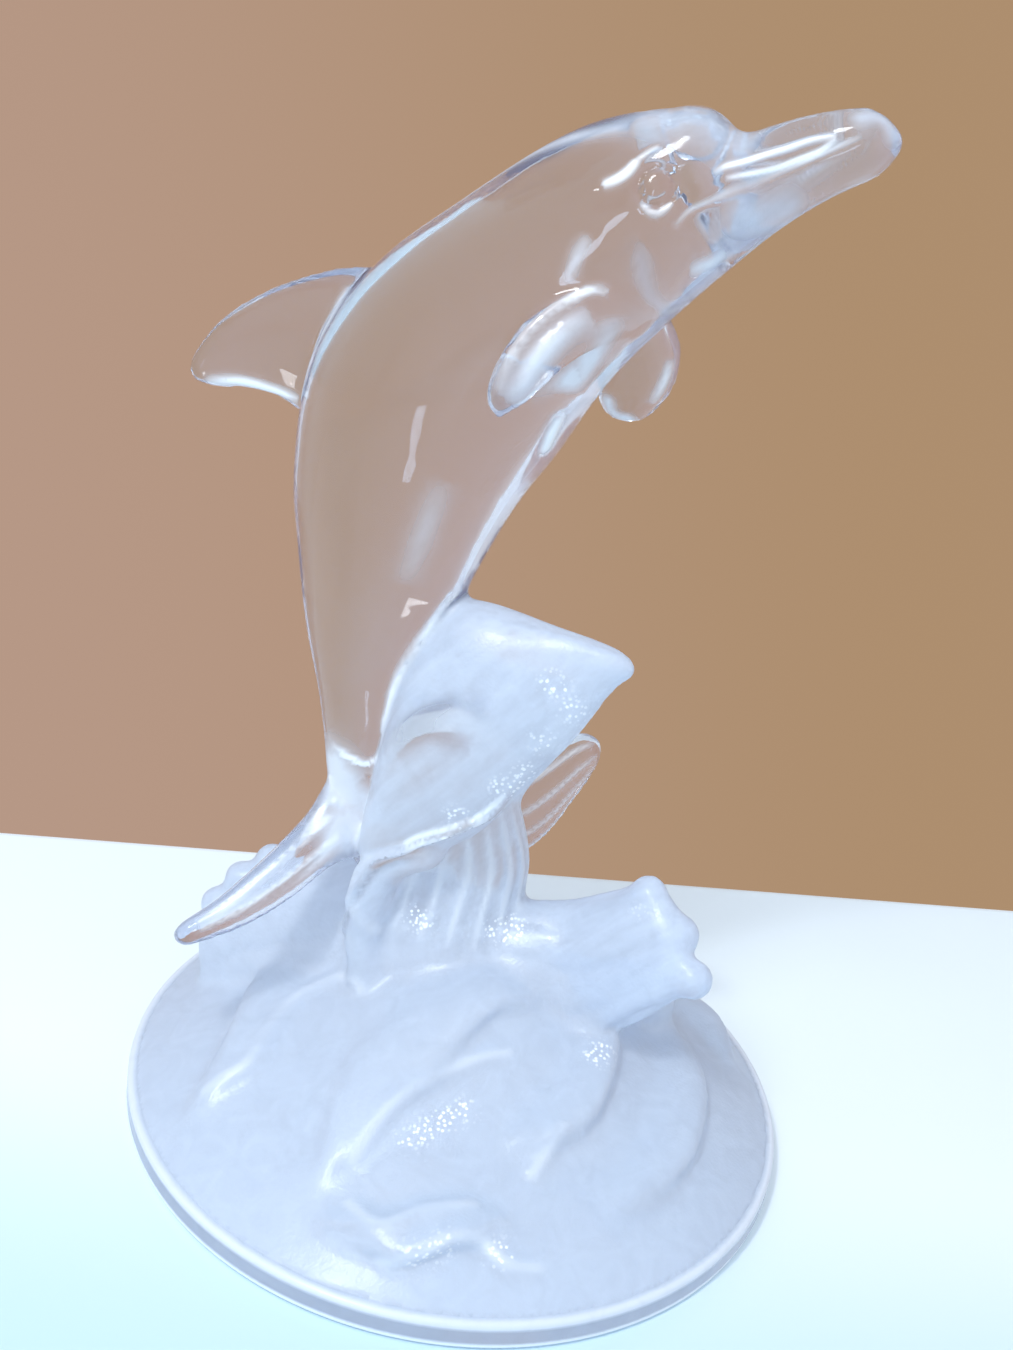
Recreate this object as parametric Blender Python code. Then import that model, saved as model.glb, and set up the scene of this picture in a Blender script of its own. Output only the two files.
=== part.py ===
"""A cast glass ornament: a dolphin leaping over a curling wave, on a round domed base.

The whole ornament is one piece of glass. It faces +X, stands on z = 0, and the middle of the
base's underside is the origin. The free forms (the animal, the waves and the dome) are rounded
lofts, fused into one skin. The base plate below them is turned, with a crisp polished rim.
"""
from dataclasses import dataclass
from math import atan2, cos, exp, hypot, pi, sin, sqrt

import bmesh
import bpy
from mathutils import Vector

# Driving sizes, in metres
BASE_RADIUS = 0.050
RIM_HEIGHT = 0.004
RIM_BEVEL = 0.0006
RIM_STEP = 0.0009
DOME_HEIGHT = 0.014
MOUND_HEIGHT = 0.009
MOUND_RADIUS = 0.018
FIGURE_HEIGHT = 0.144
DORSAL_FIN_THICKNESS = 0.0056
PECTORAL_FIN_THICKNESS = 0.0042
FLUKE_THICKNESS = 0.0052
RIPPLE_HEIGHT = 0.0018

# The ripples on the dome are drawn in fiftieths of the base's radius, as seen from above
RIPPLE_STEP = BASE_RADIUS / 50

# The free forms are drawn in steps: a hundred and forty-fourth of the figure's height above the rim
STEPS_IN_HEIGHT = 144
STEP = FIGURE_HEIGHT / STEPS_IN_HEIGHT
SKIN_VOXEL = 1.05 * STEP
SKIN_SMOOTHING = 7
SKIN_SOFTNESS = 0.5
SKIN_KEPT = 0.108
PLATE_SEGMENTS = 96
WELD_DISTANCE = 0.05 * RIM_BEVEL
DOME_SEGMENTS = 72
DOME_RINGS = 24
LOFT_AROUND = 28
LOFT_ALONG = 56

# Shares that shape the forms: how far their ends round off, and how much fuller their fore edge is
FORM_BLUNT = 0.07
MELON_BLUNT = 0.4
RIPPLE_BLUNT = 0.3
FIN_HEEL = 0.3
CREST_HEEL = 0.25
BACK_HEEL = -0.4

# The dome falls away from its axis by this power of the distance, and sinks by a share of the rim
DOME_FALL = 2.2
DOME_SINK = 0.7 * RIM_HEIGHT

# How far beyond its ends a ripple would come to a point, in spaces between its own points
RIPPLE_LEAD = 0.6

# How far to look ahead and behind along a form, to find the way that it runs
LOFT_NUDGE = 0.01

GLASS_COLOUR = (0.80, 0.83, 0.95, 1.0)
GLASS_ROUGHNESS = 0.12
GLASS_IOR = 1.54


@dataclass(frozen=True)
class Section:
    """One cut through a form: its fore and aft points and its thickness across, in steps."""

    fore: tuple
    aft: tuple
    thick: float


def flank(dorsal_x, dorsal_z, belly_x, belly_z, width):
    """Return a section of the animal's body, which lies on the plane y = 0."""
    return Section((dorsal_x, 0, dorsal_z), (belly_x, 0, belly_z), width)


# The body, from the beak's tip past the head and the belly to the tail's root
BODY = (
    flank(33.0, 142.8, 33.6, 139.8, 5.0),
    flank(28.8, 144.3, 31.3, 137.2, 8.2),
    flank(23.4, 143.1, 27.7, 134.9, 9.4),
    flank(18.7, 141.2, 24.0, 132.0, 10.8),
    flank(14.9, 139.6, 20.4, 128.6, 13.0),
    flank(10.8, 140.6, 17.4, 125.2, 16.8),
    flank(5.2, 140.9, 15.0, 122.4, 20.0),
    flank(-4.9, 137.1, 10.8, 117.2, 24.0),
    flank(-17.3, 127.5, 4.2, 108.0, 27.0),
    flank(-28.7, 116.9, -0.9, 97.5, 28.6),
    flank(-35.7, 103.2, -4.3, 91.5, 28.0),
    flank(-36.7, 88.9, -7.2, 85.0, 25.0),
    flank(-35.2, 78.5, -10.6, 75.5, 21.0),
    flank(-33.1, 67.3, -13.2, 66.7, 16.0),
    flank(-29.8, 56.0, -15.8, 57.0, 12.0),
    flank(-27.6, 45.8, -17.4, 46.2, 10.0),
    flank(-26.4, 34.0, -17.6, 34.0, 9.4),
)

# The round brow above the beak
MELON = (
    Section((2.0, 0, 139.2), (6.0, 0, 128.0), 15.0),
    Section((8.6, 0, 141.8), (12.0, 0, 130.0), 16.8),
    Section((14.4, 0, 141.3), (16.4, 0, 132.6), 14.0),
)

DORSAL_FIN = (
    Section((-25.0, 0.5, 117.0), (-30.0, 0.5, 92.0), 1.15),
    Section((-32.8, 0.8, 116.2), (-38.0, 0.8, 95.4), 1.0),
    Section((-39.3, 1.0, 113.8), (-42.6, 1.0, 96.8), 0.85),
    Section((-45.4, 1.0, 110.6), (-47.4, 1.0, 96.6), 0.7),
    Section((-51.6, 1.0, 105.6), (-51.6, 1.0, 95.8), 0.6),
    Section((-56.0, 1.0, 99.0), (-55.2, 1.0, 96.2), 0.45),
)

NEAR_PECTORAL = (
    Section((6.5, -5.0, 123.0), (9.0, -5.0, 116.0), 1.2),
    Section((3.0, -9.0, 121.2), (5.6, -9.0, 114.8), 1.15),
    Section((-1.4, -13.2, 117.9), (2.0, -13.0, 110.6), 1.0),
    Section((-4.8, -16.0, 113.0), (-1.6, -15.8, 105.9), 0.85),
    Section((-6.2, -18.2, 107.3), (-4.4, -18.0, 103.6), 0.6),
)

FAR_PECTORAL = (
    Section((4.0, 4.0, 119.0), (-1.0, 4.0, 114.0), 1.2),
    Section((8.3, 8.0, 117.2), (0.3, 8.0, 112.4), 1.15),
    Section((11.0, 11.5, 112.5), (0.0, 11.5, 108.3), 1.0),
    Section((10.2, 14.5, 106.6), (-0.6, 14.5, 103.7), 0.85),
    Section((6.8, 17.0, 101.2), (1.2, 17.0, 100.6), 0.6),
)

NEAR_FLUKE = (
    Section((-25.0, 4.0, 45.0), (-17.0, 3.0, 30.0), 1.3),
    Section((-26.4, -1.5, 43.0), (-18.6, -2.5, 32.6), 1.2),
    Section((-27.0, -7.0, 39.6), (-21.6, -8.0, 32.6), 1.05),
    Section((-29.9, -14.0, 34.8), (-24.6, -15.0, 29.6), 0.95),
    Section((-33.6, -20.0, 29.8), (-29.4, -21.0, 26.2), 0.85),
    Section((-37.4, -26.4, 26.7), (-35.7, -27.0, 24.0), 0.8),
)

FAR_FLUKE = (
    Section((-25.0, -3.0, 42.0), (-17.5, -3.0, 28.0), 1.3),
    Section((-21.0, 4.0, 40.0), (-14.0, 4.0, 27.0), 1.25),
    Section((-13.4, 10.5, 40.4), (-6.4, 10.5, 26.4), 1.2),
    Section((-4.7, 19.0, 43.3), (1.4, 19.0, 30.4), 1.1),
    Section((1.4, 27.0, 47.4), (5.0, 26.5, 37.1), 1.05),
    Section((5.4, 32.0, 46.9), (7.1, 31.8, 42.6), 0.9),
)

# The great wave under the belly, from its foot beside the tail to its tip
CREST = (
    Section((-19.0, -4.4, 34.0), (-13.0, -4.4, 31.0), 6.0),
    Section((-18.4, -4.6, 42.6), (-8.6, -6.0, 37.6), 10.0),
    Section((-17.4, -3.6, 54.2), (-1.4, -5.8, 43.4), 13.4),
    Section((-16.0, -2.2, 63.4), (4.5, -5.0, 52.4), 15.0),
    Section((-13.2, -0.8, 71.2), (9.8, -4.0, 61.2), 13.4),
    Section((-9.6, 0.0, 75.4), (12.6, -3.2, 67.2), 10.5),
    Section((3.4, -1.6, 75.2), (14.4, -3.0, 70.2), 6.5),
    Section((14.6, -2.8, 74.4), (16.4, -3.0, 71.6), 4.0),
)

# The trunk of water that carries the great wave, from the dome up to its hollow side
TRUNK = (
    Section((9.0, 1.0, 5.0), (-27.0, 1.0, 5.0), 30.0),
    Section((6.4, 2.4, 17.0), (-24.0, 2.0, 17.0), 23.0),
    Section((4.6, 4.6, 27.0), (-21.0, 3.0, 27.0), 18.0),
    Section((4.2, 5.4, 36.0), (-19.5, 3.4, 36.0), 15.0),
    Section((1.2, 3.4, 46.0), (-18.0, 2.4, 46.0), 12.0),
    Section((-1.0, 2.0, 56.0), (-17.0, 1.4, 56.0), 10.0),
)

# The great wave's back, which the tip hides from the front
CREST_BACK = (
    Section((-14.0, 1.0, 70.0), (-18.0, 8.0, 38.0), 8.0),
    Section((-8.0, 0.6, 72.6), (-11.0, 10.0, 34.0), 9.6),
    Section((0.0, -0.2, 72.0), (-3.0, 9.4, 38.0), 8.6),
    Section((7.0, -1.4, 72.0), (2.6, 5.6, 48.0), 6.4),
    Section((12.6, -2.6, 72.0), (8.6, 0.6, 61.0), 4.0),
)

# The roll of water inside the great wave's hollow, whose edge carries on from the lip
SWIRL = (
    Section((-5.0, -5.0, 41.0), (-6.0, -6.0, 36.6), 4.6),
    Section((-11.6, -6.6, 40.2), (-11.0, -7.2, 34.0), 6.4),
    Section((-16.2, -6.2, 36.6), (-12.0, -7.4, 31.0), 7.4),
    Section((-18.4, -6.2, 30.6), (-12.6, -7.4, 27.4), 7.6),
    Section((-18.4, -6.8, 23.0), (-12.6, -8.2, 22.6), 7.6),
    Section((-14.6, -8.4, 13.0), (-10.6, -9.6, 18.0), 6.4),
)

# The smaller breaker on the right, which leans out over the dome
BREAKER = (
    Section((-4.0, 5.0, 25.0), (-2.0, -5.0, 14.0), 9.0),
    Section((4.6, 6.4, 28.4), (9.0, -4.0, 14.6), 9.0),
    Section((11.4, 6.4, 31.0), (18.0, -2.4, 13.0), 8.6),
    Section((17.6, 5.8, 35.0), (24.4, -2.4, 17.4), 8.0),
    Section((23.2, 5.0, 38.6), (29.6, -3.0, 23.4), 6.6),
    Section((28.6, 3.0, 35.8), (33.2, -2.8, 28.0), 5.0),
)

BREAKER_BACK = (
    Section((-2.0, 7.0, 25.0), (2.0, 18.0, 0.0), 11.0),
    Section((6.0, 8.0, 27.0), (9.0, 22.0, -1.0), 12.0),
    Section((13.6, 7.8, 30.0), (17.4, 22.4, -1.0), 11.4),
    Section((20.0, 6.6, 34.4), (25.0, 18.6, 1.0), 8.6),
    Section((25.6, 4.6, 34.0), (29.6, 12.0, 9.0), 5.6),
)

# The low wave on the left, behind the near fluke
BACKWASH = (
    Section((-20.0, 5.0, 31.0), (-16.0, -2.0, 4.0), 12.0),
    Section((-28.4, 4.0, 29.2), (-22.6, -2.0, 1.0), 14.0),
    Section((-34.6, 2.0, 26.6), (-28.6, -2.4, -1.0), 13.6),
    Section((-39.4, 0.4, 23.4), (-33.4, -2.6, -2.0), 12.0),
    Section((-43.2, -1.8, 18.0), (-37.6, -3.0, -2.0), 10.0),
    Section((-45.6, -3.2, 12.4), (-42.0, -3.6, -1.0), 7.0),
)

# Round lobes of foam along the waves' edges: centre and radius
FOAM_LOBES = (
    ((22.9, 4.6, 36.4), 3.0),
    ((28.6, 2.4, 32.6), 3.2),
    ((32.4, -1.8, 28.8), 3.0),
    ((-42.6, -2.4, 16.4), 2.8),
    ((-39.6, -0.4, 20.8), 3.0),
    ((-35.6, 1.4, 24.4), 3.0),
)

# Ripples on the dome, seen from above: each a path of points and its greatest width
RIPPLES = (
    (((-28, -35), (-25, -23), (-26, -9), (-24, 0), (-18, -1)), 12.0),
    (((-6, -39), (-5, -27), (-2, -17), (4, -8), (12, -4)), 13.0),
    (((18, 8), (20, -4), (20, -16), (15, -26)), 11.0),
    (((-4, -43), (6, -41), (12, -37), (19, -34)), 9.0),
    (((30, -26), (34, -12), (33, 3), (28, 16)), 11.0),
    (((27, 34), (16, 31), (5, 23), (-2, 14)), 12.0),
    (((2, 44), (-8, 37), (-14, 27), (-12, 16)), 12.0),
    (((-22, 38), (-30, 28), (-28, 17), (-22, 10)), 11.0),
    (((40, 18), (33, 25), (24, 25), (17, 16)), 11.0),
)


def between(rows, place):
    """Return the row at a place from 0 to 1 on a smooth curve through rows of equal length."""
    last = len(rows) - 1
    at = min(max(place, 0.0), 1.0) * last
    index = min(int(at), last - 1)
    part = at - index
    before, here, after, beyond = (rows[min(max(index + k, 0), last)] for k in (-1, 0, 1, 2))
    return [
        0.5 * (2 * b + (c - a) * part + (2 * a - 5 * b + 4 * c - d) * part ** 2
               + (3 * b - a - 3 * c + d) * part ** 3)
        for a, b, c, d in zip(before, here, after, beyond)
    ]


def section_at(rows, place):
    """Return fore point, aft point and thickness of a form at a place from 0 to 1."""
    row = between(rows, place)
    return Vector(row[0:3]), Vector(row[3:6]), row[6]


def loft(bm, sections, thickness=1.0, blunt=FORM_BLUNT, heel=0.0):
    """Add a closed rounded form through the sections to bm.

    blunt is the share of its length that rounds off each end, and heel is the share by which it
    thickens towards its fore edge and thins towards its aft edge.
    """
    rows = [(*s.fore, *s.aft, s.thick * thickness) for s in sections]
    made = bmesh.ops.create_uvsphere(bm, u_segments=LOFT_AROUND, v_segments=LOFT_ALONG, radius=1)
    for vert in made["verts"]:
        place = (1 - vert.co.z) / 2
        turn = atan2(vert.co.y, vert.co.x)
        end = min(place, 1 - place) / blunt
        swell = sqrt(max(0.0, 1 - (1 - end) ** 2)) if end < 1 else 1.0
        fore, aft, thick = section_at(rows, place)
        ahead = section_at(rows, place + LOFT_NUDGE)
        behind = section_at(rows, place - LOFT_NUDGE)
        run = (ahead[0] + ahead[1]) - (behind[0] + behind[1])
        across = run.cross(fore - aft).normalized()
        chord = (fore - aft) / 2
        side = across * (thick / 2) * (1 + heel * cos(turn))
        vert.co = ((fore + aft) / 2 + (chord * cos(turn) + side * sin(turn)) * swell) * STEP
    faces = {face for vert in made["verts"] for face in vert.link_faces}
    bmesh.ops.recalc_face_normals(bm, faces=list(faces))


def blade(bm, sections, thickness):
    """Add a fin, whose sections give their thickness as a share of its own thickness."""
    loft(bm, sections, thickness / STEP, heel=FIN_HEEL)


def turned(bm, profile, segments):
    """Add a closed turned solid from a profile of (radius, height), from the axis to the axis."""
    verts = [bm.verts.new((radius, 0, height)) for radius, height in profile]
    edges = [bm.edges.new(pair) for pair in zip(verts, verts[1:])]
    bmesh.ops.spin(bm, geom=verts + edges, cent=(0, 0, 0), axis=(0, 0, 1), angle=2 * pi,
                   steps=segments, use_merge=True)
    bmesh.ops.remove_doubles(bm, verts=bm.verts[:], dist=WELD_DISTANCE)
    bmesh.ops.recalc_face_normals(bm, faces=bm.faces[:])


def dome_height(radius):
    """Return the dome's height above the rim at a distance from its axis, in metres."""
    share = min(radius / dome_radius(), 1.0)
    return DOME_HEIGHT * (1 - share ** DOME_FALL) + MOUND_HEIGHT * exp(-(radius / MOUND_RADIUS) ** 2)


def dome_radius():
    """Return the radius at which the dome meets the flat edge of the plate."""
    return BASE_RADIUS - RIM_STEP


def dome(bm):
    """Add the low dome, with a foot that sinks into the plate."""
    edge = dome_radius()
    radii = [edge * k / DOME_RINGS for k in range(DOME_RINGS + 1)]
    profile = [(radius, dome_height(radius)) for radius in radii]
    profile += [(edge, -DOME_SINK), (edge / 2, -DOME_SINK), (0, -DOME_SINK)]
    turned(bm, profile, DOME_SEGMENTS)


def ripple(bm, path, width):
    """Add one raised ripple that follows the dome along a path seen from above, in ripple steps."""
    sections = []
    scale = RIPPLE_STEP / STEP
    spaces = len(path) - 1 + 2 * RIPPLE_LEAD
    for index, (x, y) in enumerate(path):
        ahead = path[min(index + 1, len(path) - 1)]
        behind = path[max(index - 1, 0)]
        run = Vector((ahead[0] - behind[0], ahead[1] - behind[1], 0)).normalized()
        spread = width / 2 * sin(pi * (index + RIPPLE_LEAD) / spaces)
        out = Vector((-run.y, run.x, 0)) * spread * scale
        level = dome_height(hypot(x, y) * RIPPLE_STEP) / STEP
        middle = Vector((x * scale, y * scale, level))
        sections.append(Section(tuple(middle + out), tuple(middle - out), 2 * RIPPLE_HEIGHT / STEP))
    loft(bm, sections, blunt=RIPPLE_BLUNT)


def foam_lobe(bm, centre, radius):
    """Add one round lobe of foam."""
    made = bmesh.ops.create_icosphere(bm, subdivisions=3, radius=radius * STEP)
    bmesh.ops.translate(bm, verts=made["verts"], vec=Vector(centre) * STEP)


def new_object(name, bm):
    """Make an object from bm, put it in the scene and return it."""
    mesh = bpy.data.meshes.new(name)
    bm.to_mesh(mesh)
    bm.free()
    made = bpy.data.objects.new(name, mesh)
    bpy.context.scene.collection.objects.link(made)
    return made


def glass():
    """Return the clear glass of the whole ornament."""
    material = bpy.data.materials.new("cast_glass")
    material.use_nodes = True
    shader = material.node_tree.nodes["Principled BSDF"]
    shader.inputs["Base Color"].default_value = GLASS_COLOUR
    shader.inputs["Roughness"].default_value = GLASS_ROUGHNESS
    shader.inputs["IOR"].default_value = GLASS_IOR
    shader.inputs["Metallic"].default_value = 0.0
    return material


def base_plate():
    """Return the turned plate with its polished rim, standing on z = 0; it only shapes the figurine."""
    bm = bmesh.new()
    profile = (
        (0, RIM_HEIGHT),
        (BASE_RADIUS - RIM_BEVEL, RIM_HEIGHT),
        (BASE_RADIUS, RIM_HEIGHT - RIM_BEVEL),
        (BASE_RADIUS, RIM_BEVEL),
        (BASE_RADIUS - RIM_BEVEL, 0),
        (0, 0),
    )
    turned(bm, profile, PLATE_SEGMENTS)
    plate = new_object("base_plate_guide", bm)
    plate.hide_render = True
    plate.display_type = "WIRE"
    return plate


def figurine():
    """Return the dolphin, the waves and the dome as one skin, united with the base plate."""
    bm = bmesh.new()
    dome(bm)
    loft(bm, BODY)
    loft(bm, MELON, blunt=MELON_BLUNT)
    blade(bm, DORSAL_FIN, DORSAL_FIN_THICKNESS)
    for sections in (NEAR_PECTORAL, FAR_PECTORAL):
        blade(bm, sections, PECTORAL_FIN_THICKNESS)
    for sections in (NEAR_FLUKE, FAR_FLUKE):
        blade(bm, sections, FLUKE_THICKNESS)
    loft(bm, CREST, heel=CREST_HEEL)
    for sections in (TRUNK, SWIRL, BREAKER):
        loft(bm, sections)
    for sections in (CREST_BACK, BREAKER_BACK, BACKWASH):
        loft(bm, sections, heel=BACK_HEEL)
    for centre, radius in FOAM_LOBES:
        foam_lobe(bm, centre, radius)
    for path, width in RIPPLES:
        ripple(bm, path, width)
    bmesh.ops.translate(bm, verts=bm.verts[:], vec=(0, 0, RIM_HEIGHT))
    made = new_object("dolphin_figurine", bm)
    skin = made.modifiers.new("Fuse forms", "REMESH")
    skin.mode = "VOXEL"
    skin.voxel_size = SKIN_VOXEL
    soften = made.modifiers.new("Fire polish", "SMOOTH")
    soften.factor = SKIN_SOFTNESS
    soften.iterations = SKIN_SMOOTHING
    thin = made.modifiers.new("Facet", "DECIMATE")
    thin.ratio = SKIN_KEPT
    join = made.modifiers.new("Stand on plate", "BOOLEAN")
    join.operation = "UNION"
    join.object = base_plate()
    made.data.materials.append(glass())
    return made


for old in list(bpy.data.objects):
    bpy.data.objects.remove(old)
figurine()
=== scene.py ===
"""The looks of a cast glass dolphin ornament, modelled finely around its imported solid.

The dolphin, the waves, the dome and the base plate are one casting: clear glass, with the waves and
the dome's top frosted. All forms are measured in millimetres above the rim's top edge, in the
solid's own frame, and become metres when the casting is finished.
"""
import logging
from dataclasses import dataclass, field, replace
from enum import Enum
from math import atan2, cos, exp, hypot, pi, radians, sin, sqrt

import bmesh
import bpy
import numpy as np
from bmesh.types import BMesh
from bpy.types import Material, Mesh, Node, NodeSocket, Object
from mathutils import Matrix, Vector
from mathutils.bvhtree import BVHTree


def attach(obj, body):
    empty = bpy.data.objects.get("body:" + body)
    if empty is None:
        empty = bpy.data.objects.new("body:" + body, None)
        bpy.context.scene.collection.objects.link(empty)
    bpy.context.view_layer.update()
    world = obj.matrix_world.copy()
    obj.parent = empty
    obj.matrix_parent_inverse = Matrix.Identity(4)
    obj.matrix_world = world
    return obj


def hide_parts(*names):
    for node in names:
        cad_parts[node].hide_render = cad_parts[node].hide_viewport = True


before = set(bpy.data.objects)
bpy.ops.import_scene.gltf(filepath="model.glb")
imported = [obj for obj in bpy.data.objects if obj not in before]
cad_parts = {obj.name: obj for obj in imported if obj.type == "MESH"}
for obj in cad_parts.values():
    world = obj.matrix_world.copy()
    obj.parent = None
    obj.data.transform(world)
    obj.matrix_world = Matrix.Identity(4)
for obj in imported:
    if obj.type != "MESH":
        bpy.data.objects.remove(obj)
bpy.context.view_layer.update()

log = logging.getLogger("figurine")

Point = tuple[float, float, float]
Pair = tuple[float, float]
Line = tuple[Point, ...]
Colour = tuple[float, float, float, float]

MM = 0.001
SOLID = "dolphin_figurine"

# Points of a smooth curve for each given one, and how far a stroke is felt, in its own widths
CURVE_STEPS = 8
REACH = 2.6

# A run's squared length counts as no less than this, so that nothing is divided by zero
TINY = 1e-12

# The way the glass was poured, along which a finish shows through to the skin behind
POUR = np.array((-0.10, 0.98, -0.16))
POUR_GRAIN = POUR / np.linalg.norm(POUR)


class Finish(Enum):
    """How a form's skin is finished."""

    CLEAR = 0.0
    FROSTED = 1.0


@dataclass(frozen=True)
class Section:
    """One cut through a form: its fore and aft points and its thickness across."""

    fore: Point
    aft: Point
    thick: float


Sections = tuple[Section, ...]


def cuts(*rows: tuple[float, ...]) -> Sections:
    """Return cuts through a form, from rows of its fore point, its aft point and its thickness."""
    return tuple(Section(row[0:3], row[3:6], row[6]) for row in rows)


def body_cuts(*rows: tuple[float, ...]) -> Sections:
    """Return cuts on the plane y = 0, from rows of back x and z, belly x and z, and width."""
    return cuts(*((back_x, 0, back_z, belly_x, 0, belly_z, width)
                  for back_x, back_z, belly_x, belly_z, width in rows))


def between(rows: list[tuple[float, ...]], place: float) -> list[float]:
    """Return the row at a place from 0 to 1 on a smooth curve through the rows.

    Args:
        rows: Rows of equal length.
        place: Where on the curve, 0 at the first row and 1 at the last.

    Returns:
        The row there, by a Catmull-Rom curve.
    """
    last = len(rows) - 1
    at = min(max(place, 0.0), 1.0) * last
    index = min(int(at), last - 1)
    part = at - index
    before, here, after, beyond = (rows[min(max(index + k, 0), last)] for k in (-1, 0, 1, 2))
    return [
        0.5 * (2 * b + (c - a) * part + (2 * a - 5 * b + 4 * c - d) * part ** 2
               + (3 * b - a - 3 * c + d) * part ** 3)
        for a, b, c, d in zip(before, here, after, beyond)
    ]


def loose_mesh(bm: BMesh) -> Mesh:
    """Return bm as a mesh that no object uses yet."""
    mesh = bpy.data.meshes.new("form")
    bm.to_mesh(mesh)
    bm.free()
    return mesh


@dataclass(frozen=True)
class Form:
    """A rounded closed form, lofted through cuts.

    blunt is the share of its length that rounds off each end. heel is the share by which it
    thickens towards its fore edge and thins towards its aft edge.
    """

    sections: Sections
    finish: Finish = Finish.CLEAR
    thickness: float = 1.0
    blunt: float = 0.07
    heel: float = 0.0
    around: int = 48
    along: int = 110

    def rows(self) -> list[tuple[float, ...]]:
        """Return the cuts as plain rows of numbers."""
        return [(*s.fore, *s.aft, s.thick * self.thickness) for s in self.sections]

    def frame_at(self, rows: list[tuple[float, ...]], place: float) -> tuple[Vector, Vector, Vector]:
        """Return the middle, half chord and half thickness of the form at a place.

        Args:
            rows: The cuts, as rows() gives them.
            place: Where along the form, from 0 to 1.

        Returns:
            The middle point, the vector to the fore edge and the vector to the side.
        """
        nudge = 0.01
        here, ahead, behind = (between(rows, place + k) for k in (0, nudge, -nudge))
        fore, aft = Vector(here[0:3]), Vector(here[3:6])
        run = (Vector(ahead[0:3]) + Vector(ahead[3:6])) - (Vector(behind[0:3]) + Vector(behind[3:6]))
        chord = (fore - aft) / 2
        side = run.cross(chord).normalized() * (here[6] / 2)
        return (fore + aft) / 2, chord, side

    def swell(self, place: float) -> float:
        """Return how far the form has filled out at a place, from 0 at its ends to 1."""
        end = min(place, 1 - place) / self.blunt
        return sqrt(max(0.0, 1 - (1 - end) ** 2)) if end < 1 else 1.0

    def point(self, at: tuple[Vector, Vector, Vector], swell: float, turn: float) -> Vector:
        """Return the skin's point at an angle round one cut, 0 at its fore edge."""
        middle, chord, side = at
        return middle + (chord * cos(turn) + side * (sin(turn) * (1 + self.heel * cos(turn)))) * swell

    def bent_sphere(self) -> Mesh:
        """Return the closed form as a mesh, made by bending a sphere along it."""
        bm = bmesh.new()
        bmesh.ops.create_uvsphere(bm, u_segments=self.around, v_segments=self.along, radius=1)
        rows = self.rows()
        rings: dict[float, tuple] = {}
        for vert in bm.verts:
            place = round((1 - vert.co.z) / 2, 6)
            if place not in rings:
                rings[place] = (self.frame_at(rows, place), self.swell(place))
            at, swell = rings[place]
            vert.co = self.point(at, swell, atan2(vert.co.y, vert.co.x))
        bmesh.ops.recalc_face_normals(bm, faces=bm.faces[:])
        return loose_mesh(bm)

    def line(self, turn: float, start: float = 0.0, end: float = 1.0, steps: int = 24) -> list[Point]:
        """Return points along the skin at an angle round the form.

        Args:
            turn: The angle round the form, 0 at its fore edge.
            start: Where the line starts along the form, from 0 to 1.
            end: Where it ends.
            steps: How many points it has.

        Returns:
            The points, in order.
        """
        rows = self.rows()
        places = [start + (end - start) * k / (steps - 1) for k in range(steps)]
        return [tuple(self.point(self.frame_at(rows, p), self.swell(p), turn)) for p in places]


@dataclass(frozen=True)
class Stroke:
    """A line worked into the skin.

    A negative height cuts a groove and a positive one raises a bead. frost is how much rougher the
    skin is left along it, or how much brighter it is polished where that is negative; on the clear
    dolphin it also paints milky sheen where the lights and the room would reflect. The next strength
    paints white glints in specks, and the one after it paints a white highlight along the line.
    through puts the finish on the skin behind, straight through the glass along the grain of the pour.
    """

    points: Line | list[Point]
    width: float
    height: float = 0.0
    frost_and_sheen: float = 0.0
    painted_glints: float = 0.0
    painted_highlight: float = 0.0
    taper: bool = True
    smooth: bool = True
    through: bool = False

    def path(self) -> np.ndarray:
        """Return the line's points, on a smooth curve through those that were given."""
        if not self.smooth or len(self.points) < 3:
            return np.array(self.points, float)
        count = CURVE_STEPS * (len(self.points) - 1)
        return np.array([between(list(self.points), k / count) for k in range(count + 1)])

    def near(self, places: np.ndarray) -> tuple[np.ndarray, np.ndarray, np.ndarray]:
        """Measure how near the places lie to the line.

        Args:
            places: Points on the skin, one a row.

        Returns:
            The rows of the points in reach, their distance to the line, and how far along it from
            0 to 1 their nearest point lies.
        """
        path = self.path()
        open_to = np.ones(len(places), bool)
        if self.through:
            open_to = places @ POUR_GRAIN > (path @ POUR_GRAIN).max() + self.width
            path = path - np.outer(path @ POUR_GRAIN, POUR_GRAIN)
            places = places - np.outer(places @ POUR_GRAIN, POUR_GRAIN)
        reach = REACH * self.width
        inside = np.all((places > path.min(0) - reach) & (places < path.max(0) + reach), axis=1)
        rows = np.nonzero(inside & open_to)[0]
        found = places[rows]
        best = np.full(len(rows), np.inf)
        share = np.zeros(len(rows))
        for k in range(len(path) - 1):
            run = path[k + 1] - path[k]
            part = np.clip((found - path[k]) @ run / max(run @ run, TINY), 0, 1)
            away = np.linalg.norm(found - path[k] - part[:, None] * run, axis=1)
            closer = away < best
            best[closer] = away[closer]
            share[closer] = (k + part[closer]) / (len(path) - 1)
        kept = best < reach
        return rows[kept], best[kept], share[kept]

    def strength(self, away: np.ndarray, share: np.ndarray) -> np.ndarray:
        """Return how strong the stroke is at a distance from its line and a share of its length."""
        ends = np.sqrt(np.clip(np.sin(pi * share), 0, 1)) if self.taper else 1.0
        return np.exp(-(away / self.width) ** 2) * ends

    def flipped(self) -> "Stroke":
        """Return the same stroke on the other side of the plane y = 0."""
        return replace(self, points=[(x, -y, z) for x, y, z in self.points])


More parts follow.
